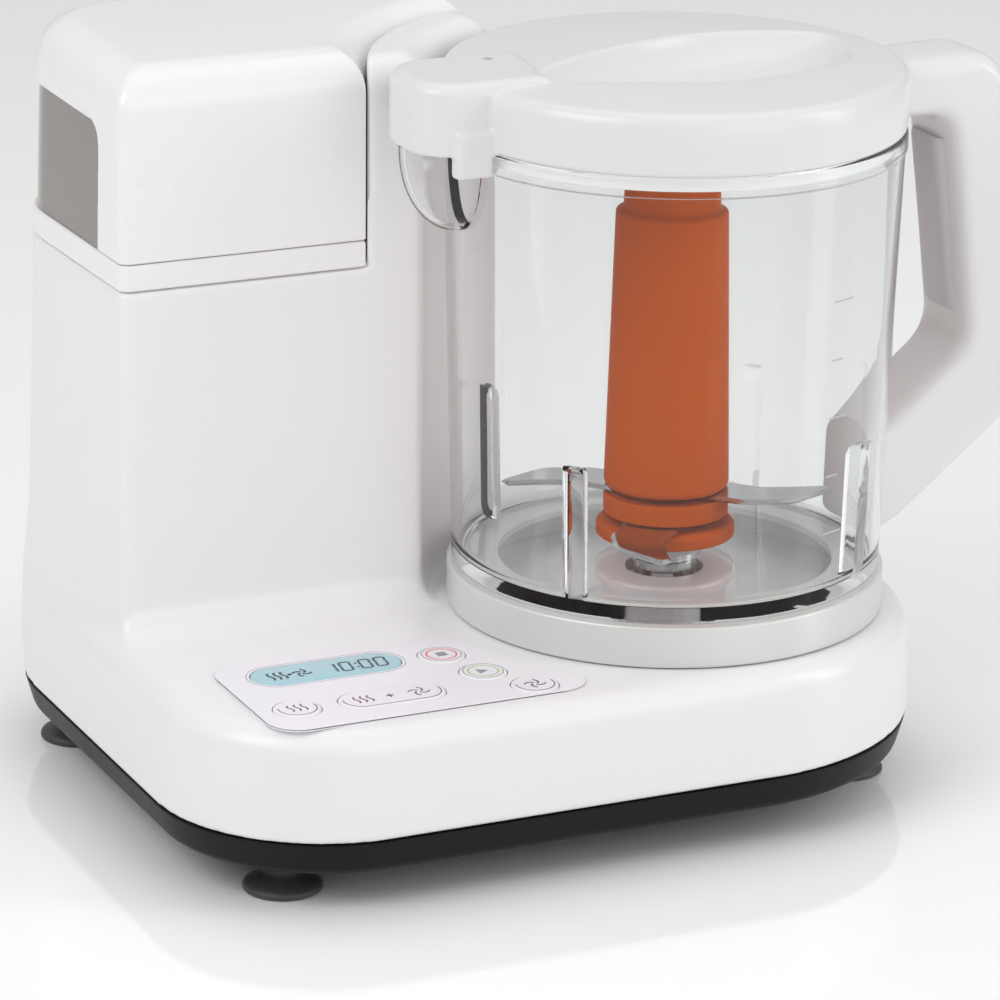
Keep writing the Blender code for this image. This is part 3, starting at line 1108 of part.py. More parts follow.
def window_box(name, grow, z0, z1):
    """The bay of the window: left side and round the back-left corner, round at its top front."""
    front, top, bend = WINDOW_FRONT_Y - grow, z1, 0.007
    edge = [(front, z0)] + arc(front + bend, top - bend, bend, 180, 90, 5) + [(0.24, top), (0.24, z0)]
    rings = [[(x, y, z) for y, z in edge] for x in (-0.05, WINDOW_RIGHT_X + grow)]
    return loft(name, rings, "smoke_plastic", tank_axis, TANK_AXIS)


def outlet(name, radius, z0, z1):
    """A cylinder on the tank's outlet."""
    return rod(name, radius, z0, z1, VALVE_X, VALVE_Y, "smoke_plastic", tank_axis, TANK_AXIS)


def make_tank():
    """White skirt, smoky reservoir with its outlet neck, valve pin and seal."""
    skirt = tank_loft("tank_skirt", [(SKIRT_Z, 0.0), (SKIRT_TOP_Z, 0.0)], "white_plastic")
    cut(skirt, tank_loft("inside", [(SKIRT_Z + 0.0022, 0.0024), (SKIRT_TOP_Z + 0.01, 0.0024)],
                         "white_plastic"))
    cut(skirt, outlet("hole", NECK_OUTER_R + SEAT, SKIRT_Z - 0.01, SKIRT_Z + 0.01))

    liner = COVER_WALL + SLIDE
    low, high = SKIRT_TOP_Z + SEAT, COVER_TOP_Z - 0.0150
    tank = tank_loft("tank_reservoir", [(low, liner), (high - 0.006, liner), (high, liner + 0.002)],
                     "smoke_plastic")
    bulge = tank_loft("bulge", [(low, WINDOW_RECESS), (WINDOW_TOP_Z + 0.02, WINDOW_RECESS)],
                      "smoke_plastic")
    boolean(bulge, window_box("bay", 0.0, low - 0.01, WINDOW_TOP_Z), "INTERSECT")
    join(tank, bulge)
    inner = liner + RESERVOIR_WALL
    cut(tank, tank_loft("inside", [(low + RESERVOIR_WALL, inner), (high + 0.01, inner)], "smoke_plastic"))
    join(tank, outlet("neck", NECK_OUTER_R, TANK_FLOOR_Z - 0.0070, low + 0.001))
    cut(tank, outlet("bore", NECK_BORE_R, TANK_FLOOR_Z - 0.02, low + 0.01))
    head = low + RESERVOIR_WALL + SEAT
    pin = [(0, TANK_FLOOR_Z - 0.0085), (NECK_BORE_R - SEAT, TANK_FLOOR_Z - 0.0085),
           (NECK_BORE_R - SEAT, head)]
    pin += [(0.0052, head), (0.0052, head + 0.0018), (0, head + 0.0026)]
    turned("tank_valve", pin, VALVE_X, VALVE_Y, "grey_plastic", tank_axis, TANK_AXIS)
    ring("tank_valve_seal", NECK_OUTER_R + SEAT, VALVE_SEAT_R - SEAT, TANK_FLOOR_Z - 0.0060,
         TANK_FLOOR_Z - 0.0036,
         VALVE_X, VALVE_Y, "silicone", tank_axis, TANK_AXIS)


def make_cover():
    """The white cover over the reservoir, open at the window down to its lower edge."""
    low, high, soft = SKIRT_TOP_Z + SEAT, COVER_TOP_Z, 0.0110
    levels = [(low, 0.0), (high - soft, 0.0)]
    for step in range(1, 5):
        turn = math.radians(90 * step / 4)
        levels.append((high - soft + soft * math.sin(turn), soft * (1 - math.cos(turn))))
    cover = tank_loft("tank_cover", levels, "white_plastic")
    wall = COVER_WALL
    inside = [(low - 0.01, wall), (high - soft, wall), (high - soft * 0.35, wall + soft * 0.20)]
    inside.append((high - wall, wall + soft * 0.55))
    cut(cover, tank_loft("inside", inside, "white_plastic"))
    cut(cover, window_box("bay", SLIDE, low - 0.01, WINDOW_TOP_Z + SLIDE))
    return cover


# ---------------------------------------------------------------- assembly
make_housing()
make_tray()
for foot_name, (foot_x, foot_y) in FEET.items():
    make_foot(foot_name, foot_x, foot_y)
for screw_name, (screw_x, screw_y, _) in SCREWS.items():
    make_screw(screw_name, screw_x, screw_y, TRAY_BOTTOM_Z + 0.0060 - SEAT, 0.0165, frame)
make_panel()
make_display()
make_electronics()
for key_name, (key_x, key_y, key_straight) in KEYS.items():
    make_key(key_name, key_x, key_y, key_straight)
make_belt()
make_motor()
make_drive()
make_steam_parts()
make_bowl()
make_handle()
make_blades()
make_lid()
make_tank()
make_cover()
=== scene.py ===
"""Looks of the steam-and-blend baby food maker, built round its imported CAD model.

Shapes are made in design coordinates, in metres, with X = 0 at the base's left side, Y = 0
at its front and Z = 0 on the table. new_object() moves them to where the CAD pieces are.
"""

import json
from math import acos, asin, cos, degrees, pi, radians, sin, sqrt

import bmesh
import bpy
from mathutils import Matrix, Vector


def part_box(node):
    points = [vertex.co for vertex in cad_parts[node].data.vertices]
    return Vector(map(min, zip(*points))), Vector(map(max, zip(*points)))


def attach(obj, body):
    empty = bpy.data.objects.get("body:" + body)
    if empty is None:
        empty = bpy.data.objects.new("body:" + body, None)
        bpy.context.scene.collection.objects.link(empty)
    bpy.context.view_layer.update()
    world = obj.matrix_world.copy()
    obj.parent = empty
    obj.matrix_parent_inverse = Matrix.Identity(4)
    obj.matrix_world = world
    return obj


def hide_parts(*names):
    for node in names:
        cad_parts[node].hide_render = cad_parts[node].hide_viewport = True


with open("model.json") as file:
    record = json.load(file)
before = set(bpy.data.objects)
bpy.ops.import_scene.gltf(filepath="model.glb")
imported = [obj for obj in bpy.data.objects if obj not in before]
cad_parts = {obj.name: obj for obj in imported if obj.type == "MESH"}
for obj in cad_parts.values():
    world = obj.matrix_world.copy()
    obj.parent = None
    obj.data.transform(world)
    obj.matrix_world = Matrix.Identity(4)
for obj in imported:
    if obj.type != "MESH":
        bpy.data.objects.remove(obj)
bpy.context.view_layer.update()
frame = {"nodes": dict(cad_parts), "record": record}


def levels_of(node):
    """A CAD node's lowest and highest Z."""
    return [corner.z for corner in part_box(node)]


# ---- sizes, as in the CAD
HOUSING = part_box("base_housing")
ORIGIN = Vector((HOUSING[0].x, HOUSING[0].y, 0.0))
BASE_DEPTH = HOUSING[1].y - HOUSING[0].y
BASE_WIDTH = HOUSING[1].x - HOUSING[0].x
PARTING_Z = HOUSING[0].z
BOWL_Z, RIM_Z = levels_of("bowl_shell")
TRAY_BOTTOM_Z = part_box("bottom_tray")[0].z
TRAY_TAPER = 0.0048  # how far the tray's foot lies inside its top edge
DECK_Z = 0.0528
DECK_FILLET = 0.0075
SHELL_WALL = 0.0026
FRONT_LEFT_R, BACK_LEFT_R, BACK_RIGHT_R = 0.05, 0.053, 0.048
COLLAR_R = 0.0632
BASE_RIGHT_R = COLLAR_R + 0.009
BOWL_X = BASE_WIDTH - BASE_RIGHT_R
BOWL_Y = BASE_RIGHT_R - 0.001
BOWL_FOOT_R = COLLAR_R - 0.0013
BOWL_TOP_R = COLLAR_R + 0.0021
BOWL_WALL = 0.0026
FLOOR_TOP_Z = BOWL_Z + 0.0037
RIM_R = COLLAR_R + 0.0027
RIM_HEIGHT = 0.0054
LID_R = RIM_R
LID_Z = RIM_Z + 0.0003
LID_TOP_Z = RIM_Z + 0.0181
ARM_TOP_Z = RIM_Z + 0.0204
ARM_FRONT, ARM_BACK, ARM_REACH = -0.0155, 0.021, COLLAR_R + 0.0203
SPOUT_REACH, SPOUT_HALF, SPOUT_DROP = COLLAR_R + 0.0198, 0.013, 0.0255
SPOUT_OFFSET = 0.0028
TOWER_FRONT_Y = BOWL_Y + 0.0258
TOWER_RIGHT_X = BOWL_X - 0.025
TOWER_TOP_Z = RIM_Z + 0.0189
TANK_FLOOR_Z = RIM_Z - 0.0409
COVER_LOW_Z, COVER_TOP_Z = levels_of("tank_cover")
COVER_WALL = 0.0024
SCOOP_R = COLLAR_R + 0.0073
SHROUD_R = SCOOP_R + 0.0163
TANK_R = SHROUD_R + 0.0005
WINDOW_FRONT_Y, WINDOW_RIGHT_X = BOWL_Y + 0.0458, 0.06
WINDOW_TOP_Z = RIM_Z + 0.0029
VALVE_X, VALVE_Y = 0.072, BASE_DEPTH - 0.035
FEET = ("foot_front_left", "foot_front_right", "foot_back_left", "foot_back_right")
KEY_R = 0.0067
# middle and straight length of each key
KEYS = {
    "key_stop": (0.0848, 0.0478, 0.0),
    "key_start": (0.09, 0.031, 0.0),
    "key_blend": (0.099, 0.0162, 0.0),
    "key_steam": (0.0313, 0.024, 0.0),
    "key_steam_blend": (0.059, 0.0231, 0.0177),
}
DISPLAY_X, DISPLAY_Y, DISPLAY_LENGTH, DISPLAY_WIDTH = 0.0507, 0.05, 0.045, 0.015
FILM_TOP_Z = DECK_Z + 0.0007
BOSS_R, BOSS_RISE, WELL_R, TUBE_R, TUBE_DEPTH = 0.0205, 0.008, 0.0113, 0.014, 0.0128
POST_R, SCREW_HOLE_R, SCREW_SINK_R, FOOT_PEG_R = 0.0045, 0.0019, 0.0033, 0.0035
TOWER_FOOT_R, TOWER_SOFT_R = 0.009, 0.0085
GRILLE_SLOTS, GRILLE_X, GRILLE_Z, GRILLE_PITCH = 6, 0.096, 0.075, 0.0055
RIB_RISE, RIB_HALF, RIB_ANGLES = 0.04, 0.00325, (38, 128, 218, 308)
HUB_BORE_R, COLUMN_BORE_R = 0.0108, 0.0055
PAST = 0.01  # how far a cutter goes past the face that it cuts
OUT_LEFT, OUT_RIGHT, OUT_FRONT, OUT_BACK = -0.05, 0.3, -0.05, 0.26  # clear of the base on each side
VOXEL = 0.0009  # voxel of the housing's skin
FINE = 0.0006  # voxel of the lid's and handle's skins
TURN = 192  # sides of a turned piece


# ---- shader helpers
class Shader:
    """A material with one Principled shader and short calls for its nodes."""

    def __init__(self, name, colour, roughness, metallic=0.0, **sockets):
        self.material = bpy.data.materials.new(name)
        self.material.use_nodes = True
        self.tree = self.material.node_tree
        self.main = self.tree.nodes["Principled BSDF"]
        self.main.inputs["Base Color"].default_value = (*colour, 1.0)
        self.main.inputs["Roughness"].default_value = roughness
        self.main.inputs["Metallic"].default_value = metallic
        for key, value in sockets.items():
            self.main.inputs[key.replace("_", " ")].default_value = value
        self.material.diffuse_color = (*colour, 1.0)
        coordinates = self.tree.nodes.new("ShaderNodeTexCoord")
        self.where = coordinates.outputs["Object"]

    def node(self, kind, **inputs):
        made = self.tree.nodes.new(kind)
        for key, value in inputs.items():
            socket = made.inputs[key.replace("_", " ")]
            if hasattr(value, "is_linked"):
                self.tree.links.new(value, socket)
            else:
                socket.default_value = value
        return made

    def noise(self, scale, detail=2.0, stretch=(1.0, 1.0, 1.0)):
        mapping = self.node("ShaderNodeMapping", Vector=self.where, Scale=stretch)
        field = self.node("ShaderNodeTexNoise", Vector=mapping.outputs[0], Scale=scale, Detail=detail)
        return field.outputs["Fac"]

    def ramp(self, value, low, high, to_low, to_high):
        made = self.node("ShaderNodeMapRange", Value=value)
        for socket, number in zip(made.inputs[1:5], (low, high, to_low, to_high)):
            socket.default_value = number
        return made.outputs[0]

    def vary_roughness(self, value, low, high):
        self.tree.links.new(self.ramp(value, 0.1, 0.9, low, high), self.main.inputs["Roughness"])

    def vary_colour(self, value, one, two):
        mix = self.tree.nodes.new("ShaderNodeMix")
        mix.data_type = "RGBA"
        self.tree.links.new(self.ramp(value, 0.15, 0.85, 0.0, 1.0), mix.inputs["Factor"])
        mix.inputs["A"].default_value = (*one, 1.0)
        mix.inputs["B"].default_value = (*two, 1.0)
        self.tree.links.new(mix.outputs["Result"], self.main.inputs["Base Color"])

    def bump(self, value, distance, strength=1.0):
        made = self.node("ShaderNodeBump", Height=value, Strength=strength, Distance=distance)
        self.tree.links.new(made.outputs[0], self.main.inputs["Normal"])


def moulded(name, colour, roughness, grain=2600.0, depth=0.000006, shade=0.995, **sockets):
    """Moulded plastic or rubber: a fine grain, slow changes of gloss and a trace of tint."""
    made = Shader(name, colour, roughness, **sockets)
    made.vary_roughness(made.noise(55.0), roughness * 0.9, roughness * 1.12)
    darker = tuple(c * shade for c in colour)
    made.vary_colour(made.noise(24.0, 3.0), colour, darker)
    made.bump(made.noise(grain, 3.0), depth)
    return made.material


def brushed(name, colour, roughness, stretch):
    """Metal with fine lines along one direction."""
    made = Shader(name, colour, roughness, 1.0)
    lines = made.noise(900.0, 4.0, stretch)
    made.vary_roughness(lines, roughness * 0.8, roughness * 1.35)
    made.vary_colour(lines, colour, tuple(c * 0.86 for c in colour))
    made.bump(lines, 0.00001)
    return made.material


def clear(name, colour, roughness, ior, **sockets):
    made = Shader(name, colour, roughness, Transmission_Weight=1.0, IOR=ior, **sockets)
    made.vary_roughness(made.noise(40.0), roughness, roughness + 0.012)
    made.bump(made.noise(60.0, 1.0), 0.00002, 0.4)
    return made.material


def white(name, colour, roughness, coat, coat_roughness):
    """Glossy white moulding, with hardly any grain."""
    coat_sockets = {"Coat_Weight": coat, "Coat_Roughness": coat_roughness}
    return moulded(name, colour, roughness, 450.0, 0.0000012, **coat_sockets)


MATERIALS = {
    "white": white("white_moulding", (0.842, 0.83, 0.843), 0.3, 0.15, 0.18),
    "white_lid": white("white_lid_moulding", (0.755, 0.75, 0.758), 0.3, 0.15, 0.18),
    "cover": white("white_cover_moulding", (0.86, 0.845, 0.86), 0.26, 0.2, 0.12),
    "charcoal": moulded("charcoal_moulding", (0.01, 0.009, 0.012), 0.38, 900.0, 0.000006, 0.8,
                        Specular_IOR_Level=0.15),
    "foot": moulded("grey_suction_rubber", (0.06, 0.055, 0.052), 0.5, 1500.0, 0.00002, 0.85),
    "glass": clear("bowl_glass", (0.955, 0.965, 0.965), 0.0, 1.33, Specular_IOR_Level=0.25),
    "smoke": moulded("smoky_window", (0.27, 0.235, 0.215), 0.16, 900.0, 0.000003, 0.9,
                     Transmission_Weight=0.35, Coat_Weight=0.5, Coat_Roughness=0.05),
    "silver": moulded("silver_collar", (0.71, 0.715, 0.7), 0.4, 450.0, 0.0000012, 0.98, metallic=0.35),
    "orange": moulded("orange_column", (0.5, 0.08, 0.001), 0.42, 700.0, 0.000008, 0.9,
                      Specular_IOR_Level=0.03),
    "film": moulded("printed_film", (0.845, 0.825, 0.865), 0.38, 2000.0, 0.000002),
    "film_line": moulded("film_edge_line", (0.42, 0.4, 0.44), 0.45),
    "key": moulded("key_film", (0.845, 0.82, 0.86), 0.36, 2000.0, 0.000002),
    "purple": moulded("purple_print", (0.2, 0.085, 0.22), 0.45),
    "red": moulded("red_print", (0.78, 0.16, 0.16), 0.45),
    "green": moulded("green_print", (0.42, 0.62, 0.24), 0.45),
    "grey_print": moulded("grey_print", (0.36, 0.35, 0.38), 0.45),
    "lcd": moulded("display_blue", (0.36, 0.62, 0.7), 0.22, 1500.0, 0.000002, 0.95, Coat_Weight=0.6,
                   Coat_Roughness=0.06),
    "lcd_digit": moulded("display_digit", (0.035, 0.06, 0.075), 0.35),
    "scale_print": moulded("scale_print", (0.5, 0.5, 0.5), 0.5),
    "steel": brushed("satin_steel", (0.6, 0.6, 0.62), 0.26, (1.0, 1.0, 0.08)),
    "blade": brushed("blade_steel", (0.66, 0.66, 0.68), 0.18, (0.15, 1.0, 1.0)),
    "aluminium": brushed("cast_aluminium", (0.62, 0.63, 0.64), 0.42, (1.0, 1.0, 1.0)),
    "bronze": brushed("bearing_bronze", (0.45, 0.3, 0.13), 0.36, (1.0, 1.0, 0.2)),
    "board": moulded("circuit_board", (0.03, 0.2, 0.09), 0.42, 600.0, 0.00002, 0.7),
    "black_rubber": moulded("black_rubber", (0.022, 0.022, 0.023), 0.6, 1500.0, 0.00002, 0.8),
    "silicone": moulded("pale_silicone", (0.9, 0.9, 0.89), 0.42, 1500.0, 0.00001, 0.96,
                        Subsurface_Weight=0.2, Subsurface_Scale=0.003),
    "grey": moulded("grey_moulding", (0.5, 0.5, 0.52), 0.4),
    # grip pad grey: painted shade on the handle's inner face
    "grip": moulded("grip_pad_shade_grey", (0.6, 0.6, 0.615), 0.42, 1600.0, 0.00001, 0.97),
}
# the look of each material slot's CAD nodes, and the slot of each look
BY_SLOT = {
    "white_plastic": "white", "charcoal_plastic": "charcoal", "grey_rubber": "foot",
    "clear_glass": "glass", "smoke_plastic": "smoke", "silver_plastic": "silver",
    "orange_plastic": "orange", "panel_film": "film", "display_blue": "lcd", "key_film": "key",
    "steel": "steel", "aluminium": "aluminium", "board_green": "board", "black_rubber": "black_rubber",
    "silicone": "silicone", "grey_plastic": "grey", "bronze": "bronze",
}
SLOTS = {look: slot for slot, look in BY_SLOT.items()}
SLOTS.update(white_lid="white_plastic", cover="white_plastic", blade="steel", grip="grey_plastic")
for part in frame["record"]["subparts"]:
    cad_object = frame["nodes"][part["node"]]
    cad_object.data.materials.clear()
    cad_object.data.materials.append(MATERIALS[BY_SLOT[part["material_slot"]]])


# ---- outlines
def arc(x, y, radius, start, end, steps):
    angles = [radians(start + (end - start) * i / steps) for i in range(steps + 1)]
    return [(x + radius * cos(a), y + radius * sin(a)) for a in angles]


def base_outline(inset=0.0):
    right, back = BASE_WIDTH - inset, BASE_DEPTH - inset
    return (
        arc(BOWL_X, BASE_RIGHT_R, BASE_RIGHT_R - inset, -90, 0, 40)
        + arc(right - BACK_RIGHT_R + inset, back - BACK_RIGHT_R + inset, BACK_RIGHT_R - inset, 0, 90, 30)
        + arc(BACK_LEFT_R, BASE_DEPTH - BACK_LEFT_R, BACK_LEFT_R - inset, 90, 180, 34)
        + arc(FRONT_LEFT_R, FRONT_LEFT_R, FRONT_LEFT_R - inset, 180, 270, 34)
    )


def tower_sides(z, inset):
    rise = (z - DECK_Z) / (TANK_FLOOR_Z - DECK_Z)
    left = 0.0025 + 0.006 * rise + inset
    flank = 0.0084 + 0.001 * rise + inset
    back = BASE_DEPTH - 0.0008 - 0.003 * rise - inset
    front = TOWER_FRONT_Y + 0.0015 * rise + inset
    right = TOWER_RIGHT_X - 0.001 * rise - inset
    corner = BACK_LEFT_R - 0.003 - 0.012 * rise - inset
    return left, flank, back, front, right, corner


def rear_sides(left, flank, back, front, right, corner):
    """The right, back and left sides of the tower or tank, and its front left corner."""
    heel, edge = 0.014, 0.003
    return (
        arc(right - heel, back - heel, heel, 0, 90, 16)
        + arc(left + corner, back - corner, corner, 90, 180, 30)
        + arc(flank + edge, front + edge, edge, 190, 270, 8)
    )


def bend(one, middle, two, t):
    """A point of the curve that leaves one towards middle and arrives at two."""
    return one * (1 - t) ** 2 + middle * 2 * t * (1 - t) + two * t * t


def tower_outline(z, inset=0.0, flare=0.0, swell=0.0):
    """The tower's section; flare widens its foot, and swell brings its left and back out to the base."""
    left, flank, back, front, right, corner = tower_sides(z, inset)
    left, back, front, flank = left - swell, back + swell, front - flare, flank - 0.22 * flare
    right, wrap = right + 0.8 * flare, SCOOP_R + inset - 0.5 * flare
    start = 180 - degrees(asin((front - BOWL_Y) / wrap))
    nose = 0.0045
    meet = degrees(acos((right - nose - BOWL_X) / (wrap + nose)))
    nose_y = BOWL_Y + (wrap + nose) * sin(radians(meet))
    first = arc(BOWL_X, BOWL_Y, wrap, start, meet + 0.5, 60)[1:]
    lip_x = first[0][0] - 0.0026 * 1.2
    tangent_x = BOWL_X + wrap * cos(radians(start))
    soft = [(bend(lip_x, tangent_x, first[2][0], t), bend(front, front, first[2][1], t))
            for t in (0.0, 0.25, 0.5, 0.75)]
    nose_arc = arc(right - nose, nose_y, nose, meet - 180, 0, 12)
    return soft + first[2:] + nose_arc + rear_sides(left, flank, back, front, right, corner)


def tank_outline(z, inset=0.0):
    sides = tower_sides(z, inset)
    front, right = sides[3:5]
    radius = TANK_R + inset
    start = 180 - degrees(asin((front - BOWL_Y) / radius))
    end = degrees(acos((right - BOWL_X) / radius))
    return arc(BOWL_X, BOWL_Y, radius, start, end, 48) + rear_sides(*sides)


def stadium(x, y, straight, radius):
    return arc(x + straight / 2, y, radius, -90, 90, 24) + arc(x - straight / 2, y, radius, 90, 270, 24)


def display_outline(grow=0.0):
    return stadium(DISPLAY_X, DISPLAY_Y, DISPLAY_LENGTH - DISPLAY_WIDTH, DISPLAY_WIDTH / 2 + grow)


def quarter(radius, steps, first=0):
    """The rise and inset of each step round an edge, from its side to its top."""
    turns = [radians(90 * step / steps) for step in range(first, steps + 1)]
    return [(radius * sin(a), radius * (1 - cos(a))) for a in turns]


def centre_of(node):
    low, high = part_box(node)
    return (low + high) / 2 - ORIGIN


def rounded_box(x0, x1, y0, y1, radius, steps=8):
    corners = ((x1 - radius, y0 + radius, -90), (x1 - radius, y1 - radius, 0),
               (x0 + radius, y1 - radius, 90), (x0 + radius, y0 + radius, 180))
    return [p for x, y, a in corners for p in arc(x, y, radius, a, a + 90, steps)]


def at_height(outline, z):
    return [(x, y, z) for x, y in outline]


def shrink(outline, inset):
    """A counter-clockwise outline moved inwards along its own normals."""
    moved, count = [], len(outline)
    for i in range(count):
        before, here, after = (Vector(outline[(i + k) % count]) for k in (-1, 0, 1))
        one, two = here - before, after - here
        if one.length < 1e-8 or two.length < 1e-8:
            one = two = after - before
        along = (one.normalized() + two.normalized()).normalized()
        normal = Vector((-along.y, along.x))
        moved.append(tuple(here + normal * inset / max(0.5, along.dot(two.normalized()))))
    return moved


# ---- solids
def place(name, data):
    made = bpy.data.objects.new(name, data)
    bpy.context.scene.collection.objects.link(made)
    return made


def new_object(name, bm, angle=40.0):
    """A smooth object from a bmesh in design coordinates."""
    bmesh.ops.recalc_face_normals(bm, faces=bm.faces)
    bmesh.ops.translate(bm, verts=bm.verts, vec=ORIGIN)
    data = bpy.data.meshes.new(name)
    bm.to_mesh(data)
    bm.free()
    data.shade_smooth()
    data.set_sharp_from_angle(angle=radians(angle))
    return place(name, data)


def skin(bm, rings):
    """Faces between rings of equal count, and one over each end."""
    loops = [[bm.verts.new(p) for p in ring] for ring in rings]
    count = len(loops[0])
    for low, high in zip(loops, loops[1:]):
        for i in range(count):
            j = (i + 1) % count
            bm.faces.new((low[i], low[j], high[j], high[i]))
    bm.faces.new(loops[0][::-1])
    bm.faces.new(loops[-1])


def loft(name, rings, angle=40.0):
    bm = bmesh.new()
    skin(bm, rings)
    bmesh.ops.remove_doubles(bm, verts=bm.verts, dist=0.000002)
    return new_object(name, bm, angle)


def prism(name, outline, z0, z1):
    return loft(name, [at_height(outline, z) for z in (z0, z1)])


def slab(name, outline, z0, z1, soft):
    """A prism whose top edge is rounded."""
    rings = [at_height(outline, z0), at_height(outline, z1 - soft)]
    rings += [at_height(shrink(outline, inset), z1 - soft + rise) for rise, inset in quarter(soft, 5, 1)]
    return loft(name, rings, 50.0)


def turned(name, profile, x=BOWL_X, y=BOWL_Y, steps=TURN, angle=40.0):
    """A profile of (radius, z) turned about the vertical through x, y."""
    bm = bmesh.new()
    rows = []
    for radius, z in profile:
        if radius == 0:
            rows.append([bm.verts.new((x, y, z))])
        else:
            turn = [radians(360 * i / steps) for i in range(steps)]
            rows.append([bm.verts.new((x + radius * cos(a), y + radius * sin(a), z)) for a in turn])
    pairs = list(zip(rows, rows[1:]))
    if profile[0][0] != 0:
        pairs.append((rows[-1], rows[0]))
    for one, two in pairs:
        for i in range(steps):
            j = (i + 1) % steps
            corners = [one[i % len(one)], one[j % len(one)], two[j % len(two)], two[i % len(two)]]
            unique = [c for k, c in enumerate(corners) if c not in corners[:k]]
            if len(unique) > 2:
                bm.faces.new(unique)
    return new_object(name, bm, angle)


def cylinder(name, radius, z0, z1, x=BOWL_X, y=BOWL_Y, steps=48):
    return turned(name, [(0, z0), (radius, z0), (radius, z1), (0, z1)], x, y, steps)


def across(name, radius, y0, y1, x, z, steps=32):
    """A cylinder along Y."""
    circle = arc(x, z, radius, 0, 360, steps)[:-1]
    return loft(name, [[(a, y, b) for a, b in circle] for y in (y0, y1)])


def rounded(points, radii, steps=6):
    """A polyline with its inner corners rounded; radii is one number or one for each point."""
    count = len(points)
    if not hasattr(radii, "__len__"):
        radii = [radii] * count
    path = [points[0]]
    for i in range(1, count - 1):
        here, radius = Vector(points[i]), radii[i]
        back, on = Vector(points[i - 1]) - here, Vector(points[i + 1]) - here
        reach = min(radius, back.length * 0.49, on.length * 0.49)
        if reach < 1e-6:
            path.append(tuple(here))
            continue
        one, two = here + back.normalized() * reach, here + on.normalized() * reach
        path += [tuple(bend(one, here, two, k / steps)) for k in range(steps + 1)]
    path.append(points[-1])
    return path


def apply_modifiers(target):
    bpy.context.view_layer.update()
    graph = bpy.context.evaluated_depsgraph_get()
    finished = bpy.data.meshes.new_from_object(target.evaluated_get(graph), depsgraph=graph)
    target.modifiers.clear()
    old = target.data
    target.data = finished
    bpy.data.meshes.remove(old)


def combine(target, others, operation):
    for other in others:
        modifier = target.modifiers.new("combine", "BOOLEAN")
        modifier.operation = operation
        modifier.solver = "MANIFOLD"
        modifier.object = other
        apply_modifiers(target)
        bpy.data.objects.remove(other)
    return target


def carve(target, *others):
    return combine(target, others, "DIFFERENCE")


def join(target, *others):
    return combine(target, others, "UNION")


def soften(target, voxel, passes):
    """One skin over the joined shapes with every edge softened, like a moulding's."""
    remesh = target.modifiers.new("skin", "REMESH")
    remesh.mode = "VOXEL"
    remesh.voxel_size = voxel
    remesh.use_smooth_shade = True
    smooth = target.modifiers.new("soften", "SMOOTH")
    smooth.factor = 0.5
    smooth.iterations = passes
    apply_modifiers(target)
    return target


def finish(piece, body, look, node=None, angle=35.0):
    """Shading, material, body and the CAD node that the piece stands for."""
    piece.data.shade_smooth()
    piece.data.set_sharp_from_angle(angle=radians(angle))
    piece.data.materials.clear()
    piece.data.materials.append(MATERIALS[look])
    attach(piece, body)
    if node:
        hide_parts(node)
    return piece


# ---- base unit
def tank_void(inset, z0, z1):
    """Everything to the left of the wall that the tank stands against."""
    radius = SHROUD_R - inset
    outline = arc(BOWL_X, BOWL_Y, radius, 175, 95, 60)[::-1]
    first_x, last_x = outline[0][0], outline[-1][0]
    outline += [(last_x, OUT_FRONT), (OUT_LEFT, OUT_FRONT), (OUT_LEFT, OUT_BACK), (first_x, OUT_BACK)]
    return prism("void", outline, z0, z1)


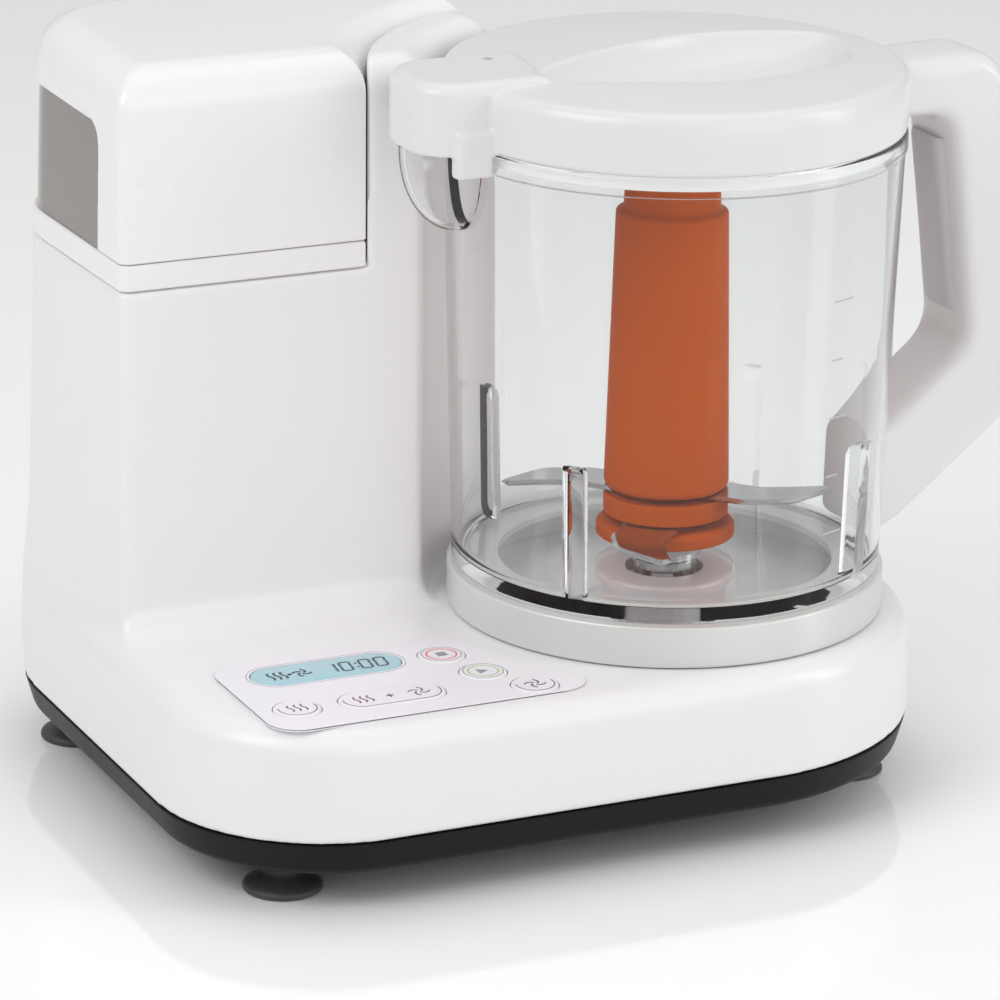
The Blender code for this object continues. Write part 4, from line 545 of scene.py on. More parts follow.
def make_housing():
    """Deck and tower in one soft-edged moulding, hollow below."""
    shoulder = DECK_Z - DECK_FILLET
    levels = [(PARTING_Z, 0.0), (PARTING_Z + 0.012, 0.0002), (shoulder, 0.0006)]
    levels += [(shoulder + rise, 0.0006 + inset) for rise, inset in quarter(DECK_FILLET, 10, 1)]
    shell = loft("housing_moulding", [at_height(base_outline(inset), z) for z, inset in levels])

    foot = TOWER_FOOT_R
    heights = [(PARTING_Z + 0.01, foot), (DECK_Z, foot)]
    for rise, _ in quarter(foot, 10, 1):
        heights.append((DECK_Z + rise, foot - sqrt(max(0.0, foot ** 2 - (foot - rise) ** 2))))
    heights += [(z / 1000, 0.0) for z in range(66, 200, 8)]
    rings = []
    for z, flare in heights:
        share = min(1.0, max(0.0, (z - shoulder) / 0.03))
        swell = 0.00145 * (1 - share * share * (3 - 2 * share))
        rings.append(at_height(tower_outline(z, 0.0, flare, swell), z))
    for rise, inset in quarter(TOWER_SOFT_R, 8):
        z = TOWER_TOP_Z - TOWER_SOFT_R + rise
        rings.append(at_height(tower_outline(z, min(0.95 * inset, 0.0072)), z))
    tower = loft("tower", rings)
    carve(tower, tank_void(0.0, TANK_FLOOR_Z, COVER_TOP_Z + 2 * PAST))
    join(shell, tower)
    soften(shell, VOXEL, 12)
    below = rounded_box(OUT_LEFT, OUT_RIGHT, OUT_FRONT, OUT_BACK, 0.01)
    carve(shell, prism("trim", below, PARTING_Z - 2 * PAST, PARTING_Z))

    wall = SHELL_WALL
    inner = [(PARTING_Z - 0.003, wall), (shoulder - wall, wall + 0.0006),
             (DECK_Z - wall, DECK_FILLET * 0.75 + wall)]
    cavity = loft("cavity", [at_height(base_outline(i), z) for z, i in inner])
    inner = [(PARTING_Z + 0.004, wall), (0.11, wall), (TANK_FLOOR_Z, wall),
             (TOWER_TOP_Z - wall * 1.6, wall + 0.003)]
    hollow = loft("hollow", [at_height(tower_outline(z, i), z) for z, i in inner])
    carve(hollow, tank_void(wall, TANK_FLOOR_Z - wall, COVER_TOP_Z + 2 * PAST))
    carve(shell, cavity, hollow)

    low, high = DECK_Z - 0.0015, DECK_Z + BOSS_RISE
    boss = rounded([(0, low), (BOSS_R, low), (BOSS_R, high), (0, high)], 0.0012)
    join(shell, turned("boss", boss, steps=96),
         cylinder("tube", TUBE_R, DECK_Z - TUBE_DEPTH, DECK_Z - 0.0005, steps=96))
    carve(shell, cylinder("well", WELL_R, DECK_Z - 2 * PAST, DECK_Z + 2 * PAST, steps=96))
    openings = [stadium(x, y, straight, KEY_R + 0.0005) for x, y, straight in KEYS.values()]
    holes = [prism("hole", edge, DECK_Z - PAST, DECK_Z + PAST) for edge in openings + [display_outline()]]
    holes.append(cylinder("hole", 0.0084, TANK_FLOOR_Z - PAST, TANK_FLOOR_Z + PAST, VALVE_X, VALVE_Y))
    nozzle, gland = centre_of("steam_nozzle"), centre_of("cord_gland")
    holes.append(across("hole", 0.0043, TOWER_FRONT_Y - PAST, TOWER_FRONT_Y + 0.008, nozzle.x, nozzle.z))
    back = (BASE_DEPTH - 0.012, BASE_DEPTH + PAST)
    holes.append(across("hole", 0.0063, *back, gland.x, gland.z))
    for index in range(GRILLE_SLOTS):
        x = GRILLE_X + GRILLE_PITCH * index
        slot = [(x + a, GRILLE_Z + b) for a, b in rounded_box(0, 0.0025, 0, 0.03, 0.0012, 5)]
        holes.append(loft("hole", [[(a, y, b) for a, b in slot] for y in back]))
    carve(shell, *holes)
    return finish(shell, "base", "white", "base_housing")


def make_tray():
    top = PARTING_Z - 0.0003
    taper, low = TRAY_TAPER, TRAY_BOTTOM_Z
    side = rounded([(taper + 0.004, low), (taper, low), (taper - 0.0022, low + 0.0016), (0.0003, top),
                    (0.004, top)], [0, 0.0012, 0.0014, 0.0005, 0])[:-1]
    tray = loft("tray_moulding", [at_height(base_outline(i), z) for i, z in side], 60.0)
    wall = SHELL_WALL
    inner = [(low + wall, taper + wall), (PARTING_Z + 0.005, wall)]
    carve(tray, loft("inside", [at_height(base_outline(i), z) for z, i in inner]))
    holes = []
    for index in range(4):
        centre = centre_of(f"housing_screw_{index + 1}")
        x, y = centre.x, centre.y
        join(tray, cylinder("post", POST_R, low + 0.001, top, x, y, 32))
        holes.append(cylinder("hole", SCREW_HOLE_R, low - PAST, PARTING_Z + PAST, x, y, 24))
        holes.append(cylinder("sink", SCREW_SINK_R, low - PAST, low + 0.006, x, y, 32))
    for foot in FEET:
        centre = centre_of(foot)
        holes.append(cylinder("hole", FOOT_PEG_R, low - PAST, low + PAST, centre.x, centre.y, 32))
    for index in range(7):
        x = 0.085 + 0.008 * index
        slot = rounded_box(x, x + 0.003, 0.12, 0.16, 0.0014, 5)
        holes.append(prism("slot", slot, low - PAST, low + 0.006))
    carve(tray, *holes)
    return finish(tray, "base", "charcoal", "bottom_tray", 30.0)


def make_feet():
    peg_z = TRAY_BOTTOM_Z
    under = peg_z - 0.0003
    for name in FEET:
        low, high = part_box(name)
        centre = centre_of(name)
        edge = (high.x - low.x) / 2
        profile = [
            (0, 0.0014), (0.0055, 0.0012), (0.0078, 0.0004), (0.0084, 0.0), (edge - 0.0005, 0.0),
            (edge, 0.0004), (edge, 0.0011), (edge - 0.0005, 0.0019), (edge - 0.0014, 0.0024),
            (0.0078, 0.0034), (0.0064, 0.004), (0.0052, 0.0049), (0.0049, 0.0058), (0.0049, under - 0.0022),
            (0.0053, under - 0.0012), (0.006, under - 0.0004), (0.006, under), (0.003, under),
            (0.003, peg_z + 0.0029), (0.0044, peg_z + 0.0032), (0.0022, peg_z + 0.0058), (0, peg_z + 0.0058),
        ]
        foot = turned("suction_" + name, profile, centre.x, centre.y, 64, 50.0)
        finish(foot, "base", "foot", name, 50.0)


# ---- panel
def panel_outline():
    wrap = COLLAR_R + 0.008
    low, high, left = 0.0088, 0.0638, 0.0198
    corner, tip = 0.0095, 0.006
    bottom = 180 + degrees(asin((BOWL_Y - low - corner) / (wrap + corner)))
    top = 180 + degrees(asin((BOWL_Y - high + tip) / (wrap + tip)))
    right_low = BOWL_X + (wrap + corner) * cos(radians(bottom))
    right_high = BOWL_X + (wrap + tip) * cos(radians(top))
    return (
        arc(left + corner, low + corner, corner, 180, 270, 16)
        + arc(right_low, low + corner, corner, -90, bottom - 180, 20)
        + arc(BOWL_X, BOWL_Y, wrap, bottom - 0.3, top + 0.3, 40)
        + arc(right_high, high - tip, tip, top - 180, 90, 16)
        + arc(left + corner, high - corner, corner, 90, 180, 16)
    )


def band(name, outline, inner_inset, outer_inset, z0, z1):
    """A flat closed line between two insets of an outline."""
    made = prism(name, shrink(outline, outer_inset), z0, z1)
    return carve(made, prism("inner", shrink(outline, inner_inset), z0 - 0.001, z1 + 0.001))


def strokes(name, lines, width, z0, z1):
    """Print made of straight strokes with square ends: each is (x0, y0, x1, y1)."""
    bm = bmesh.new()
    for x0, y0, x1, y1 in lines:
        along = Vector((x1 - x0, y1 - y0)).normalized()
        side = Vector((-along.y, along.x)) * width / 2
        start, end = Vector((x0, y0)), Vector((x1, y1))
        ends = [start - side, end - side, end + side, start + side]
        skin(bm, [[(p.x, p.y, z) for p in ends] for z in (z0, z1)])
    return new_object(name, bm)


def chain(points):
    return [(*a, *b) for a, b in zip(points, points[1:])]


def steam(x, y, gap, height):
    """Three steam curls side by side, as short strokes rising from x, y."""
    lines, steps, sway = [], 8, 0.0005
    for k in range(3):
        middle = x + gap * k
        lines += chain([(middle + sway * sin(2 * pi * t / steps), y + height * t / steps)
                        for t in range(steps + 1)])
    return lines


def plus(x, y, half):
    return [(x - half, y, x + half, y), (x, y - half, x, y + half)]


def swirl(x, y, radius):
    """A four-bladed rotor: curved strokes round a small hub."""
    lines = []
    for blade in range(4):
        turn = [radians(90 * blade + 20 * k) for k in range(5)]
        reach = [radius * (0.22 + 0.78 * k / 4) for k in range(5)]
        lines += chain([(x + r * cos(a), y + r * sin(a)) for r, a in zip(reach, turn)])
    return lines


def seven_segment(x, y, height, width, digit):
    """Strokes of one display digit with its lower left corner at x, y."""
    corners = {"a": (0, 2, 1, 2), "b": (1, 2, 1, 1), "c": (1, 1, 1, 0), "d": (0, 0, 1, 0), "e": (0, 1, 0, 0),
               "f": (0, 2, 0, 1)}
    lit = {0: "abcdef", 1: "bc"}[digit]
    gap, lean = 0.07, 0.12
    lines = []
    for x0, y0, x1, y1 in (corners[segment] for segment in lit):
        dx, dy = (x1 - x0) * gap, (y1 - y0) * gap
        ends = ((x0 + dx, y0 + dy), (x1 - dx, y1 - dy))
        lines += chain([(x + a * width + b * height / 2 * lean, y + b * height / 2) for a, b in ends])
    return lines


def make_panel():
    z0 = DECK_Z + 0.0003
    outline = panel_outline()
    film = slab("panel_film_sheet", outline, z0 - 0.0004, FILM_TOP_Z, 0.00025)
    openings = [stadium(x, y, straight, KEY_R + 0.0003) for x, y, straight in KEYS.values()]
    carve(film, *[prism("hole", edge, z0 - PAST, z0 + PAST) for edge in openings + [display_outline()]])
    finish(film, "base", "film", "panel_overlay")
    line = band("panel_border_line", outline, 0.0004, 0.0, FILM_TOP_Z - 0.00045, FILM_TOP_Z - 0.00012)
    finish(line, "base", "film_line")

    lens = slab("display_window", display_outline(-0.0003), DECK_Z - 0.001, FILM_TOP_Z, 0.0003)
    finish(lens, "base", "lcd", "display_lens")
    low = FILM_TOP_Z - 0.0001
    line = band("display_border_line", display_outline(0.001), 0.00028, 0.0, low, FILM_TOP_Z + 0.00004)
    finish(line, "base", "film_line")
    digits = []
    x, y = DISPLAY_X + 0.0005, DISPLAY_Y - 0.0033
    for place, digit in ((0.0, 1), (0.0046, 0), (0.0105, 0), (0.0151, 0)):
        digits += seven_segment(x + place - 0.001, y, 0.0066, 0.003, digit)
    digits += [(x + dx, y + dy, x + dx + 0.0007, y + dy) for dx, dy in ((0.0083, 0.0018), (0.0085, 0.0046))]
    digits += steam(DISPLAY_X - 0.0165, DISPLAY_Y - 0.0028, 0.0019, 0.0056)
    digits += swirl(DISPLAY_X - 0.0073, DISPLAY_Y, 0.0028) + plus(DISPLAY_X - 0.011, DISPLAY_Y, 0.0006)
    finish(strokes("display_digits", digits, 0.00072, low, FILM_TOP_Z + 0.00005), "base", "lcd_digit")


def key_icon(name, x, y):
    """The strokes of a key's icon, and their width."""
    if name == "key_stop":
        r = 0.0015
        return [(x - r, y - r * k, x + r, y - r * k) for k in (-0.8, -0.4, 0.0, 0.4, 0.8)], r * 0.46
    if name == "key_start":
        uprights = [(x - 0.0014 + 0.0005 * k, 0.0018 - 0.0003 * k) for k in range(6)]
        return [(a, y - half, a, y + half) for a, half in uprights], 0.00055
    if name == "key_blend":
        return swirl(x, y, 0.0031), 0.0006
    if name == "key_steam":
        return steam(x - 0.002, y - 0.0024, 0.002, 0.0048), 0.00052
    curls = steam(x - 0.0105, y - 0.0024, 0.002, 0.0048)
    return curls + plus(x - 0.0006, y, 0.0012) + swirl(x + 0.008, y, 0.0031), 0.00056


def make_keys():
    """Domed caps with a print line round the edge and an icon. On the purple keys the printed line is kept
    only along the front edge, as painted shade where the dome's front falls in shade; its lit back half is
    cut away.
    """
    for name, (x, y, straight) in KEYS.items():
        bottom, top = levels_of(name)
        body = name.removeprefix("key_") + "_key"
        outline = stadium(x, y, straight, KEY_R)
        rings = [at_height(outline, DECK_Z - 0.0015), at_height(outline, top - 0.0006)]
        for rise, inset in quarter(1.0, 6, 1):
            edge = stadium(x, y, straight, KEY_R - 0.0011 * inset)
            rings.append(at_height(edge, top - 0.0006 + 0.0006 * rise))
        cap = loft(name + "_cap", rings, 60.0)
        join(cap, cylinder("plunger", 0.0024, bottom, DECK_Z - 0.001, x, y, 32))
        finish(cap, body, "key", name, 50.0)
        paint = {"key_stop": "red", "key_start": "green"}.get(name, "purple")
        low, high = top - 0.00012, top + 0.00003

        def ring(end, inset, width):
            return band(name + end, stadium(x, y, straight, KEY_R - inset), width, 0.0, low, high)

        if paint == "purple":
            # front crescent of the printed ring: print plus painted shade along the key's front edge; the
            # lit back half is cut away below
            edge = ring("_ring", 0.0011, 0.00034)
            lit_back_half = rounded_box(x - 0.03, x + 0.03, y + 0.0012, y + 0.02, 0.001)
            carve(edge, prism("lit_back_half", lit_back_half, low - 0.001, high + 0.001))
        else:
            edge = ring("_ring", 0.0022, 0.0005)
            finish(ring("_outer_ring", 0.0009, 0.0003), body, "grey_print")
        finish(edge, body, paint)
        icon = strokes(name + "_icon", *key_icon(name, x, y), low, high)
        finish(icon, body, "purple" if paint == "purple" else "grey_print")


# ---- bowl
def spout_rings(shrinkage, reach_in):
    """The spout from its lowest point up to the rim; its root lies reach_in inside the bowl's wall."""
    rings = []
    centre_y, root_x = BOWL_Y + SPOUT_OFFSET, BOWL_X - BOWL_TOP_R + 0.003
    steps, turns = 20, 36
    for step in range(steps + 1):
        part = 1 - step / steps
        z = RIM_Z - (SPOUT_DROP - shrinkage) * part
        size = max(0.06, sqrt(max(0.0, 1 - part ** 2.2)))
        half = (SPOUT_HALF - shrinkage) * size
        reach = (SPOUT_REACH - shrinkage - BOWL_TOP_R) * size + 0.003
        angles = [pi / 2 + pi * turn / turns for turn in range(turns + 1)]
        points = [(root_x + reach * cos(a), centre_y + half * sin(a), z) for a in angles]
        points += [(root_x + reach_in, centre_y + side * half, z) for side in (-1, 1)]
        rings.append(points)
    return rings


def bowl_outer_r(z):
    return BOWL_FOOT_R + (BOWL_TOP_R - BOWL_FOOT_R) * (z - BOWL_Z) / (RIM_Z - RIM_HEIGHT - BOWL_Z)


def rib_rings(turn):
    """An upright rib on the bowl's inner wall, rounded towards the middle and lower at its top end."""
    middle = Vector((BOWL_X, BOWL_Y))
    along, side = Vector((cos(turn), sin(turn))), Vector((-sin(turn), cos(turn)))
    top = FLOOR_TOP_Z + RIB_RISE
    rings = []
    for z, depth in ((FLOOR_TOP_Z - 0.001, 0.005), (top - 0.0035, 0.005), (top - 0.0015, 0.0043),
                     (top - 0.0004, 0.003), (top, 0.0014)):
        skin_r = bowl_outer_r(z) - BOWL_WALL / 2
        face = skin_r - BOWL_WALL / 2 - depth
        angles = [radians(t) for t in range(90, -91, -20)]
        corners = [(skin_r, -1), (skin_r, 1)]
        corners += [(face + 0.0011 * (1 - cos(a)), sin(a) * 0.86) for a in angles]
        points = [middle + along * r + side * (RIB_HALF * s) for r, s in corners]
        rings.append([(p.x, p.y, z) for p in points])
    return rings


def mark_rings(z, length):
    """A thin printed line on the bowl's outer face, 0.5 mm tall."""
    radius, count = bowl_outer_r(z), 8
    section = ((-0.00002, 0), (0.00005, 0), (0.00005, 0.0005), (-0.00002, 0.0005))
    angles = [radians(-72) + length / radius * k / count for k in range(count + 1)]
    return [[(BOWL_X + (radius + r) * cos(a), BOWL_Y + (radius + r) * sin(a), z + h)
             for r, h in section] for a in angles]


def make_bowl():
    rim_low, inner_r = RIM_Z - RIM_HEIGHT, BOWL_TOP_R - BOWL_WALL
    outer = rounded([(0, BOWL_Z), (BOWL_FOOT_R, BOWL_Z), (BOWL_TOP_R, rim_low), (RIM_R, rim_low + 0.0004),
                     (RIM_R, RIM_Z), (0, RIM_Z)], [0, 0.0016, 0.0005, 0.0005, 0.0008, 0], 5)
    bowl = turned("bowl_glass_shell", outer)
    join(bowl, loft("spout", spout_rings(0.0, 0.004)))
    inside = rounded([(0, FLOOR_TOP_Z), (BOWL_FOOT_R - BOWL_WALL, FLOOR_TOP_Z), (inner_r, rim_low),
                      (inner_r, RIM_Z + PAST), (0, RIM_Z + PAST)], [0, 0.0045, 0.004, 0.0, 0], 10)
    carve(bowl, turned("inside", inside))
    mouth = spout_rings(0.0018, 0.01)
    mouth.append([(x, y, RIM_Z + PAST) for x, y, _ in mouth[-1]])
    carve(bowl, loft("mouth", mouth))
    for angle in RIB_ANGLES:
        join(bowl, loft("rib", rib_rings(radians(angle))))
    carve(bowl, cylinder("hole", HUB_BORE_R, BOWL_Z - PAST, FLOOR_TOP_Z + PAST, steps=96))
    finish(bowl, "bowl", "glass", "bowl_shell", 30.0)
    bowl.visible_shadow = False
    bowl.visible_diffuse = False

    low, high = levels_of("bowl_collar")
    skin_r, lip_r = COLLAR_R - 0.0028, COLLAR_R - 0.015
    collar = rounded([
        (skin_r, low), (COLLAR_R, low), (COLLAR_R, high), (lip_r, high), (lip_r, high - 0.0022),
        (skin_r, high - 0.0029), (skin_r, low),
    ], [0, 0.001, 0.0009, 0.0003, 0.0003, 0.0004, 0], 6)[:-1]
    finish(turned("collar_band", collar), "bowl", "silver", "bowl_collar")
    bm = bmesh.new()
    for level in range(5):
        skin(bm, mark_rings(FLOOR_TOP_Z + 0.018 + 0.017 * level, 0.0045 if level % 2 else 0.0075))
    finish(new_object("bowl_scale_marks", bm), "bowl", "scale_print")


def make_handle():
    """The handle as one soft moulding, cut to the bowl, with a grey grip pad in its inner face: a soft
    insert whose grey is painted shade where the inner face lies in shade.
    """
    grip_top = BOWL_X + LID_R + 0.015
    grip_foot = grip_top + 0.0087
    right = grip_foot + 0.0235
    x0 = BOWL_X + COLLAR_R - 0.006
    top_z, under_z, knee_z = RIM_Z + 0.014, RIM_Z - 0.003, BOWL_Z + 0.057
    inner_side = rounded([(x0, under_z), (grip_top + 0.0004, under_z), (grip_foot, knee_z),
                          (x0, BOWL_Z + 0.03)], [0, 0.006, 0.0075, 0], 8)
    outer_side = rounded([(x0, BOWL_Z + 0.0012), (BOWL_X + COLLAR_R + 0.005, BOWL_Z + 0.0035),
                          (right - 0.006, BOWL_Z + 0.034), (right + 0.0012, BOWL_Z + 0.05),
                          (right - 0.008, RIM_Z + 0.002), (right - 0.0165, RIM_Z + 0.015), (x0, top_z)],
                         [0, 0.01, 0.012, 0.016, 0.012, 0.012, 0], 8)
    half = 0.0145
    rings = []
    for step in range(13):
        share = -cos(radians(180 * step / 12))
        inset = 0.0052 * (1 - sqrt(max(0.0, 1 - abs(share) ** 5)))
        rings.append([(x, BOWL_Y + half * share, z) for x, z in shrink(inner_side + outer_side, inset)])
    handle = loft("handle_moulding", rings)
    soften(handle, FINE * 1.2, 8)
    gap = 0.0003
    rim_low, lid_r, over = RIM_Z - RIM_HEIGHT - gap, LID_R + 0.0014, ARM_TOP_Z + 2 * PAST
    clearance = [
        (0, DECK_Z - PAST), (COLLAR_R + gap, DECK_Z - PAST), (COLLAR_R + gap, BOWL_Z),
        (BOWL_FOOT_R + gap, BOWL_Z), (BOWL_TOP_R + gap, rim_low), (RIM_R + gap, rim_low),
        (RIM_R + gap, RIM_Z), (lid_r, RIM_Z), (lid_r, over), (0, over),
    ]
    carve(handle, turned("clearance", clearance))
    finish(handle, "bowl", "white_lid", "handle_outer", 30.0)

    # grip pad on the inner face; its grey material is painted shade for that face
    low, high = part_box("handle_inner")
    low, high = low - ORIGIN, high - ORIGIN
    root = 0.003
    lean = (high.x - low.x - 0.0052) / (high.z - low.z)
    reach = half - 0.006
    rings = []
    for step in range(11):
        along = -1 + 2 * step / 10
        bulge = 0.0022 * sqrt(max(0.0, 1 - abs(along) ** 4))
        section = ((root, low.z), (-bulge * 0.6, low.z), (-bulge, low.z + 0.0012), (-bulge, high.z - 0.0012),
                   (-bulge * 0.6, high.z), (root, high.z))
        y = BOWL_Y + reach * along
        rings.append([(high.x - root - lean * (z - low.z) + dx, y, z) for dx, z in section])
    finish(loft("shaded_grip_pad", rings, 50.0), "bowl", "grip", "handle_inner", 50.0)


def blade_outline(heading):
    """Two swept arms on a round plate, with every corner softened."""
    plate, reach = 0.0165, COLLAR_R - 0.0152
    arm = [(plate, 0), (reach * 0.56, -8), (reach * 0.81, -22), (reach, -42), (reach - 0.002, -46),
           (reach * 0.77, -44), (reach * 0.56, -42), (plate + 0.001, -58), (plate, -90), (plate, -120)]
    polar = [(radius, radians(heading + half - angle)) for half in (0, 180) for radius, angle in arm]
    corners = [Vector((BOWL_X + r * cos(a), BOWL_Y + r * sin(a))) for r, a in polar]
    soft, count = [], len(corners)
    for i, here in enumerate(corners):
        one, two = here.lerp(corners[i - 1], 0.25), here.lerp(corners[(i + 1) % count], 0.25)
        soft += [tuple(bend(one, here, two, t)) for t in (0.15, 0.5, 0.85)]
    return soft


def make_blades():
    low, high = levels_of("blade_column")
    shoulder = high - 0.0197
    bore = COLUMN_BORE_R
    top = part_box("blade_spindle")[1].z + 0.0003
    profile = [(0, top), (bore, top), (bore, low)] + rounded([
        (0.0172, low), (0.018, low + 0.0012), (0.016, shoulder), (0.0138, shoulder + 0.0008),
        (0.0134, high), (0, high)], [0, 0.001, 0.0016, 0.0012, 0.0014, 0], 6)
    finish(turned("stirrer_column", profile, angle=50.0), "blade_unit", "orange", "blade_column", 50.0)
    low, high = levels_of("blade_hub")
    hub = rounded([(bore, low), (0.02, low), (0.02, high - 0.0008), (0.018, high), (bore, high)],
                  [0, 0.0006, 0.001, 0.0006, 0])
    finish(turned("stirrer_hub", hub), "blade_unit", "orange", "blade_hub")
    low, high = levels_of("blade_spacer")
    spacer = rounded([(bore, low), (0.018, low), (0.018, high), (bore, high)], [0, 0.0005, 0.0005, 0])
    finish(turned("stirrer_spacer", spacer), "blade_unit", "orange", "blade_spacer")
    for name, heading in (("blade_lower", 20), ("blade_upper", 110)):
        low, high = levels_of(name)
        soft = blade_outline(heading)
        middle = (low + high) / 2
        rings = [at_height(shrink(soft, 0.0011), low), at_height(shrink(soft, 0.0002), middle - 0.0001),
                 at_height(soft, middle), at_height(shrink(soft, 0.0011), high)]
        blade = loft(name + "_steel", rings, 20.0)
        carve(blade, cylinder("hole", bore, low - PAST, high + PAST))
        finish(blade, "blade_unit", "blade", name, 20.0)


# ---- lid
def recess_outline():
    bar = [(0.85, 0.182), (0.607, 0.288), (0.303, 0.326), (0.0, 0.281), (-0.334, 0.159), (-0.607, 0.015)]
    front = [(-0.728, -0.114), (-0.653, -0.228), (-0.425, -0.349), (-0.03, -0.501), (0.395, -0.455),
             (0.728, -0.258)]
    return [(BOWL_X + x * LID_R, BOWL_Y + y * LID_R) for x, y in bar + front]


def smooth_loop(points):
    """A closed Catmull-Rom curve through points."""
    made, count, per_side = [], len(points), 6
    for i in range(count):
        p0, p1, p2, p3 = (Vector(points[(i + k) % count]) for k in (-1, 0, 1, 2))
        for k in range(per_side):
            t = k / per_side
            made.append(tuple(0.5 * (2 * p1 + (p2 - p0) * t + (2 * p0 - 5 * p1 + 4 * p2 - p3) * t * t
                                     + (3 * p1 - p0 - 3 * p2 + p3) * t ** 3)))
    return made


def make_lid():
    profile = rounded([
        (0, LID_Z), (LID_R - 0.0004, LID_Z), (LID_R + 0.0008, LID_TOP_Z - 0.006),
        (LID_R - 0.0006, LID_TOP_Z - 0.0004), (LID_R * 0.6, ARM_TOP_Z - 0.001), (0, ARM_TOP_Z - 0.0006),
    ], [0, 0.0012, 0.008, 0.004, 0.02, 0], 10)
    lid = turned("lid_moulding", profile)
    tip, front, back = BOWL_X - ARM_REACH, BOWL_Y + ARM_FRONT, BOWL_Y + ARM_BACK
    front_r, back_r, soft = 0.012, 0.014, 0.0035
    plan = (
        arc(tip + front_r, front + front_r, front_r, 180, 270, 16)
        + [(BOWL_X - 0.045, front), (BOWL_X - 0.04, back)]
        + arc(tip + back_r, back - back_r, back_r, 90, 180, 16)
    )
    rings = [at_height(plan, LID_Z)]
    rings += [at_height(shrink(plan, inset), ARM_TOP_Z - soft + rise) for rise, inset in quarter(soft, 8)]
    join(lid, loft("arm", rings))
    lug_plan = rounded_box(BOWL_X - 0.0745, BOWL_X - 0.06, BOWL_Y - 0.0175, front + 0.0042, 0.0016)
    lug = prism("lug", lug_plan, LID_Z - 0.006, LID_Z + 0.007)
    rim_r, low, high = RIM_R + 0.0005, RIM_Z - 0.03, LID_Z - 0.00005
    carve(lug, turned("clearance", [(0, low), (rim_r, low), (rim_r, high), (0, high)]))
    join(lid, lug)
    rim = smooth_loop(recess_outline())
    middle = Vector((BOWL_X + 0.09 * LID_R, BOWL_Y - 0.06 * LID_R))
    floor = LID_TOP_Z - 0.008
    rings = []
    for step in range(11):
        part = step / 10
        z = floor + (ARM_TOP_Z + 0.003 - floor) * part ** 1.5
        scale = 0.4 + 0.62 * (1 - (1 - part) ** 1.9)
        rings.append([(middle.x + (x - middle.x) * scale, middle.y + (y - middle.y) * scale, z)
                      for x, y in rim])
    carve(lid, loft("recess", rings))
    soften(lid, FINE, 7)

    under, wall_r, roof = LID_Z - PAST, LID_R - 0.0115, LID_Z + 0.006
    cavity = [(0, under), (wall_r, under), (wall_r, roof), (0, roof)]
    left, mouth, near, far = 0.006 - ARM_REACH, -0.052, ARM_FRONT + 0.008, ARM_BACK - 0.004
    channel = [(BOWL_X + x, BOWL_Y + y) for x, y in (
        (left, near), (mouth, near), (mouth, far), (left + 0.006, far), (left, far - 0.008))]
    gasket_low, gasket_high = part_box("lid_gasket")
    low, high = gasket_low.z, gasket_high.z
    gasket_r = (gasket_high.x - gasket_low.x) / 2
    groove_in, groove_out = gasket_r - 0.0038, gasket_r + 0.0003
    groove_z = high + 0.0003
    groove = [(groove_in, under), (groove_out, under), (groove_out, groove_z), (groove_in, groove_z)]
    nozzle = centre_of("steam_nozzle")
    carve(lid, turned("cavity", cavity), prism("channel", channel, under, ARM_TOP_Z - 0.0028),
          turned("groove", groove),
          cylinder("vent", 0.0016, LID_Z, ARM_TOP_Z + PAST, BOWL_X + 0.0104 - COLLAR_R, BOWL_Y + 0.0117, 32),
          across("inlet", 0.003, back - 0.008, back + PAST, nozzle.x, nozzle.z))
    finish(lid, "lid", "white_lid", "lid_shell")

    inner_r = gasket_r - 0.0035
    profile = rounded([(inner_r, low), (gasket_r, low), (gasket_r, high), (inner_r, high), (inner_r, low)],
                      [0, 0.0008, 0.0003, 0.0003, 0], 5)[:-1]
    finish(turned("gasket_ring", profile), "lid_seal", "silicone", "lid_gasket")


# ---- tank
def tank_loft(name, levels, angle=40.0):
    return loft(name, [at_height(tank_outline(z, inset), z) for z, inset in levels], angle)


def window_box(name, grow, z0, z1):
    front, top, corner = WINDOW_FRONT_Y - grow, z1, 0.007
    edge = [(front, z0)] + arc(front + corner, top - corner, corner, 180, 90, 16)
    edge += [(OUT_BACK, top), (OUT_BACK, z0)]
    rings = [[(x, y, z) for y, z in edge] for x in (OUT_LEFT, WINDOW_RIGHT_X + grow)]
    return loft(name, rings)


def make_tank():
    low, high = levels_of("tank_skirt")
    levels = [(low, 0.0005), (low + 0.0005, 0.0), (high - 0.0005, 0.0), (high, 0.0005)]
    skirt = tank_loft("tank_skirt_moulding", levels, 60.0)
    carve(skirt, tank_loft("inside", [(low + 0.0022, 0.0024), (high + PAST, 0.0024)]),
          cylinder("hole", 0.0058, low - PAST, low + PAST, VALVE_X, VALVE_Y))
    finish(skirt, "water_tank", "cover", "tank_skirt", 25.0)

    liner, bulge_inset = COVER_WALL + 0.0005, 0.001
    low, high = COVER_LOW_Z, COVER_TOP_Z - 0.015
    tank = tank_loft("tank_smoky_vessel", [(low, liner), (high - 0.006, liner), (high, liner + 0.002)])
    bulge = tank_loft("bulge", [(low, bulge_inset), (WINDOW_TOP_Z + 0.02, bulge_inset)])
    combine(bulge, [window_box("bay", 0.0, low - PAST, WINDOW_TOP_Z)], "INTERSECT")
    join(tank, bulge)
    inner = liner + 0.002
    carve(tank, tank_loft("inside", [(low + 0.002, inner), (high + PAST, inner)]))
    join(tank, cylinder("neck", 0.0055, TANK_FLOOR_Z - 0.007, low + 0.001, VALVE_X, VALVE_Y))
    carve(tank, cylinder("bore", 0.0036, TANK_FLOOR_Z - 2 * PAST, low + PAST, VALVE_X, VALVE_Y))
    finish(tank, "water_tank", "smoke", "tank_reservoir")


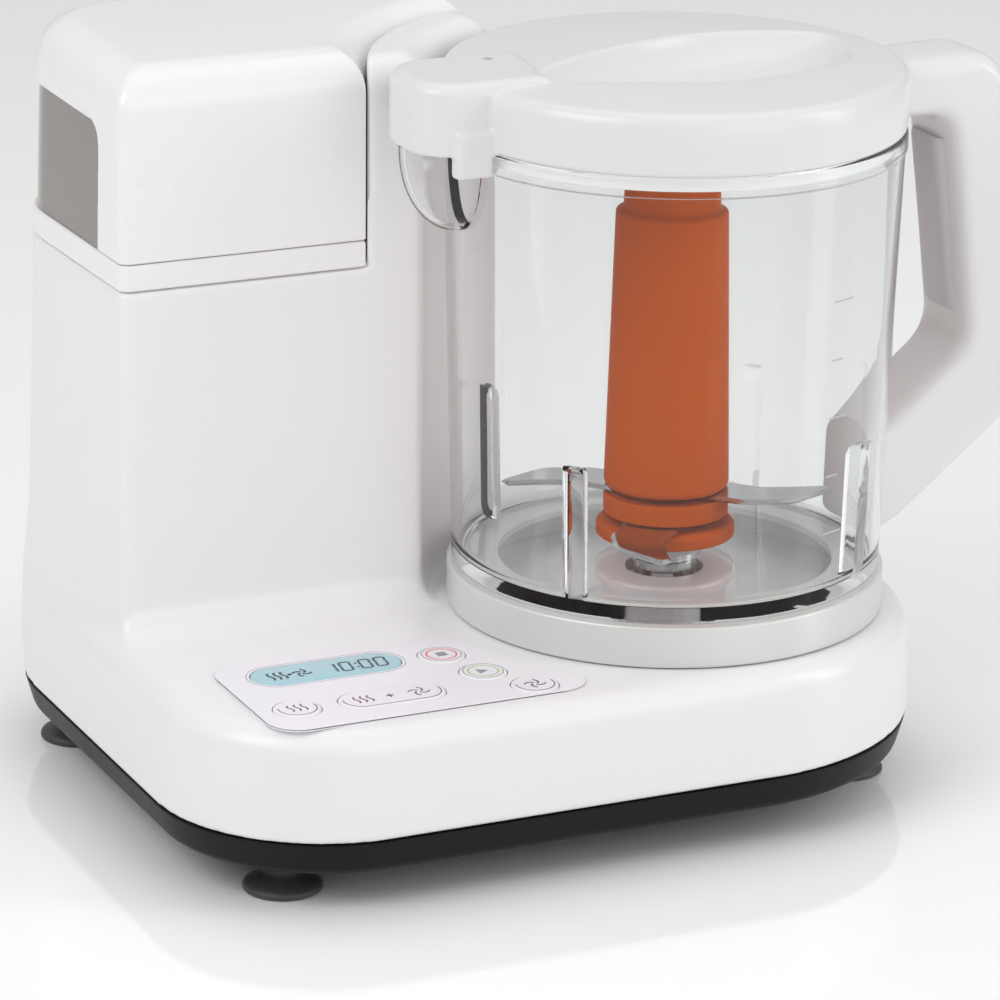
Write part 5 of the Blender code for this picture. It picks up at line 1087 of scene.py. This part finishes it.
def make_cover():
    low, high, soft, wall = COVER_LOW_Z, COVER_TOP_Z, 0.0115, COVER_WALL
    levels = [(low, 0.0004), (low + 0.0005, 0.0)]
    levels += [(low + 0.005 + (high - soft - low - 0.005) * k / 4, 0.0) for k in range(5)]
    levels += [(high - soft + rise, inset) for rise, inset in quarter(soft, 12, 1)]
    cover = tank_loft("tank_cover_moulding", levels, 60.0)
    inside = [(low - PAST, wall), (high - soft, wall), (high - soft * 0.35, wall + soft * 0.2),
              (high - wall, wall + soft * 0.55)]
    carve(cover, tank_loft("inside", inside), window_box("bay", 0.0005, low - PAST, WINDOW_TOP_Z + 0.0005))
    finish(cover, "tank_lid", "cover", "tank_cover", 25.0)


for make in (make_housing, make_tray, make_feet, make_panel, make_keys, make_bowl, make_handle, make_blades,
             make_lid, make_tank, make_cover):
    make()


# ---- floor, light and camera
def make_floor():
    bm = bmesh.new()
    size = 6.0
    plan = ((-size, -size), (size, -size), (size, size), (-size, size))
    bm.faces.new([bm.verts.new((x, y, -0.0002)) for x, y in plan])
    data = bpy.data.meshes.new("studio_floor")
    bm.to_mesh(data)
    bm.free()
    floor = place("studio_floor", data)
    shine = Shader("studio_floor_gloss", (0.98, 0.98, 0.98), 0.06)
    shine.vary_roughness(shine.noise(6.0), 0.05, 0.08)
    data.materials.append(shine.material)


def make_light(name, location, target_z, size, energy):
    data = bpy.data.lights.new(name, "AREA")
    data.shape = "RECTANGLE"
    data.size, data.size_y = size
    data.energy = energy
    light = place(name, data)
    light.location = location
    aim = Vector((0.0, 0.0, target_z)) - Vector(location)
    light.rotation_euler = aim.to_track_quat("-Z", "Y").to_euler()


def make_world():
    world = bpy.data.worlds.new("studio")
    bpy.context.scene.world = world
    world.use_nodes = True
    tree = world.node_tree
    background = tree.nodes["Background"]
    coordinates = tree.nodes.new("ShaderNodeTexCoord")
    split = tree.nodes.new("ShaderNodeSeparateXYZ")
    tree.links.new(coordinates.outputs["Generated"], split.inputs[0])
    height = tree.nodes.new("ShaderNodeMapRange")
    tree.links.new(split.outputs["Z"], height.inputs["Value"])
    for socket, number in zip(height.inputs[1:5], (0.0, 0.8, 0.45, 0.76)):
        socket.default_value = number
    tree.links.new(height.outputs[0], background.inputs["Strength"])
    background.inputs["Color"].default_value = (1.0, 1.0, 1.0, 1.0)


def make_camera():
    """A long lens from the front left, a little above the bowl."""
    turn, rise, roll, distance = -0.435, 0.318, 0.0125, 1.3933
    target = Vector((-0.03155, -0.0415, 0.0927))
    back = Vector((sin(turn) * cos(rise), -cos(turn) * cos(rise), sin(rise)))
    right = Vector((cos(turn), sin(turn), 0.0))
    up = back.cross(right)
    x_axis = cos(roll) * right + sin(roll) * up
    y_axis = -sin(roll) * right + cos(roll) * up
    data = bpy.data.cameras.new("camera")
    data.sensor_width = 36.0
    data.lens = 178.0
    camera = place("camera", data)
    rotation = Matrix((x_axis, y_axis, back)).transposed().to_4x4()
    camera.matrix_world = Matrix.Translation(target + back * distance) @ rotation
    bpy.context.scene.camera = camera


make_floor()
make_world()
make_light("key_softbox", (-1.2, -0.35, 1.1), 0.08, (0.9, 0.9), 8.0)
make_light("top_softbox", (0.1, 0.25, 1.5), 0.1, (1.2, 0.9), 1.5)
make_light("right_softbox", (1.25, -0.9, 0.7), 0.1, (0.4, 1.2), 6.0)
make_light("front_softbox", (0.35, -1.5, 0.5), 0.1, (1.0, 0.8), 3.0)
bpy.context.scene.view_settings.view_transform = "Standard"
make_camera()
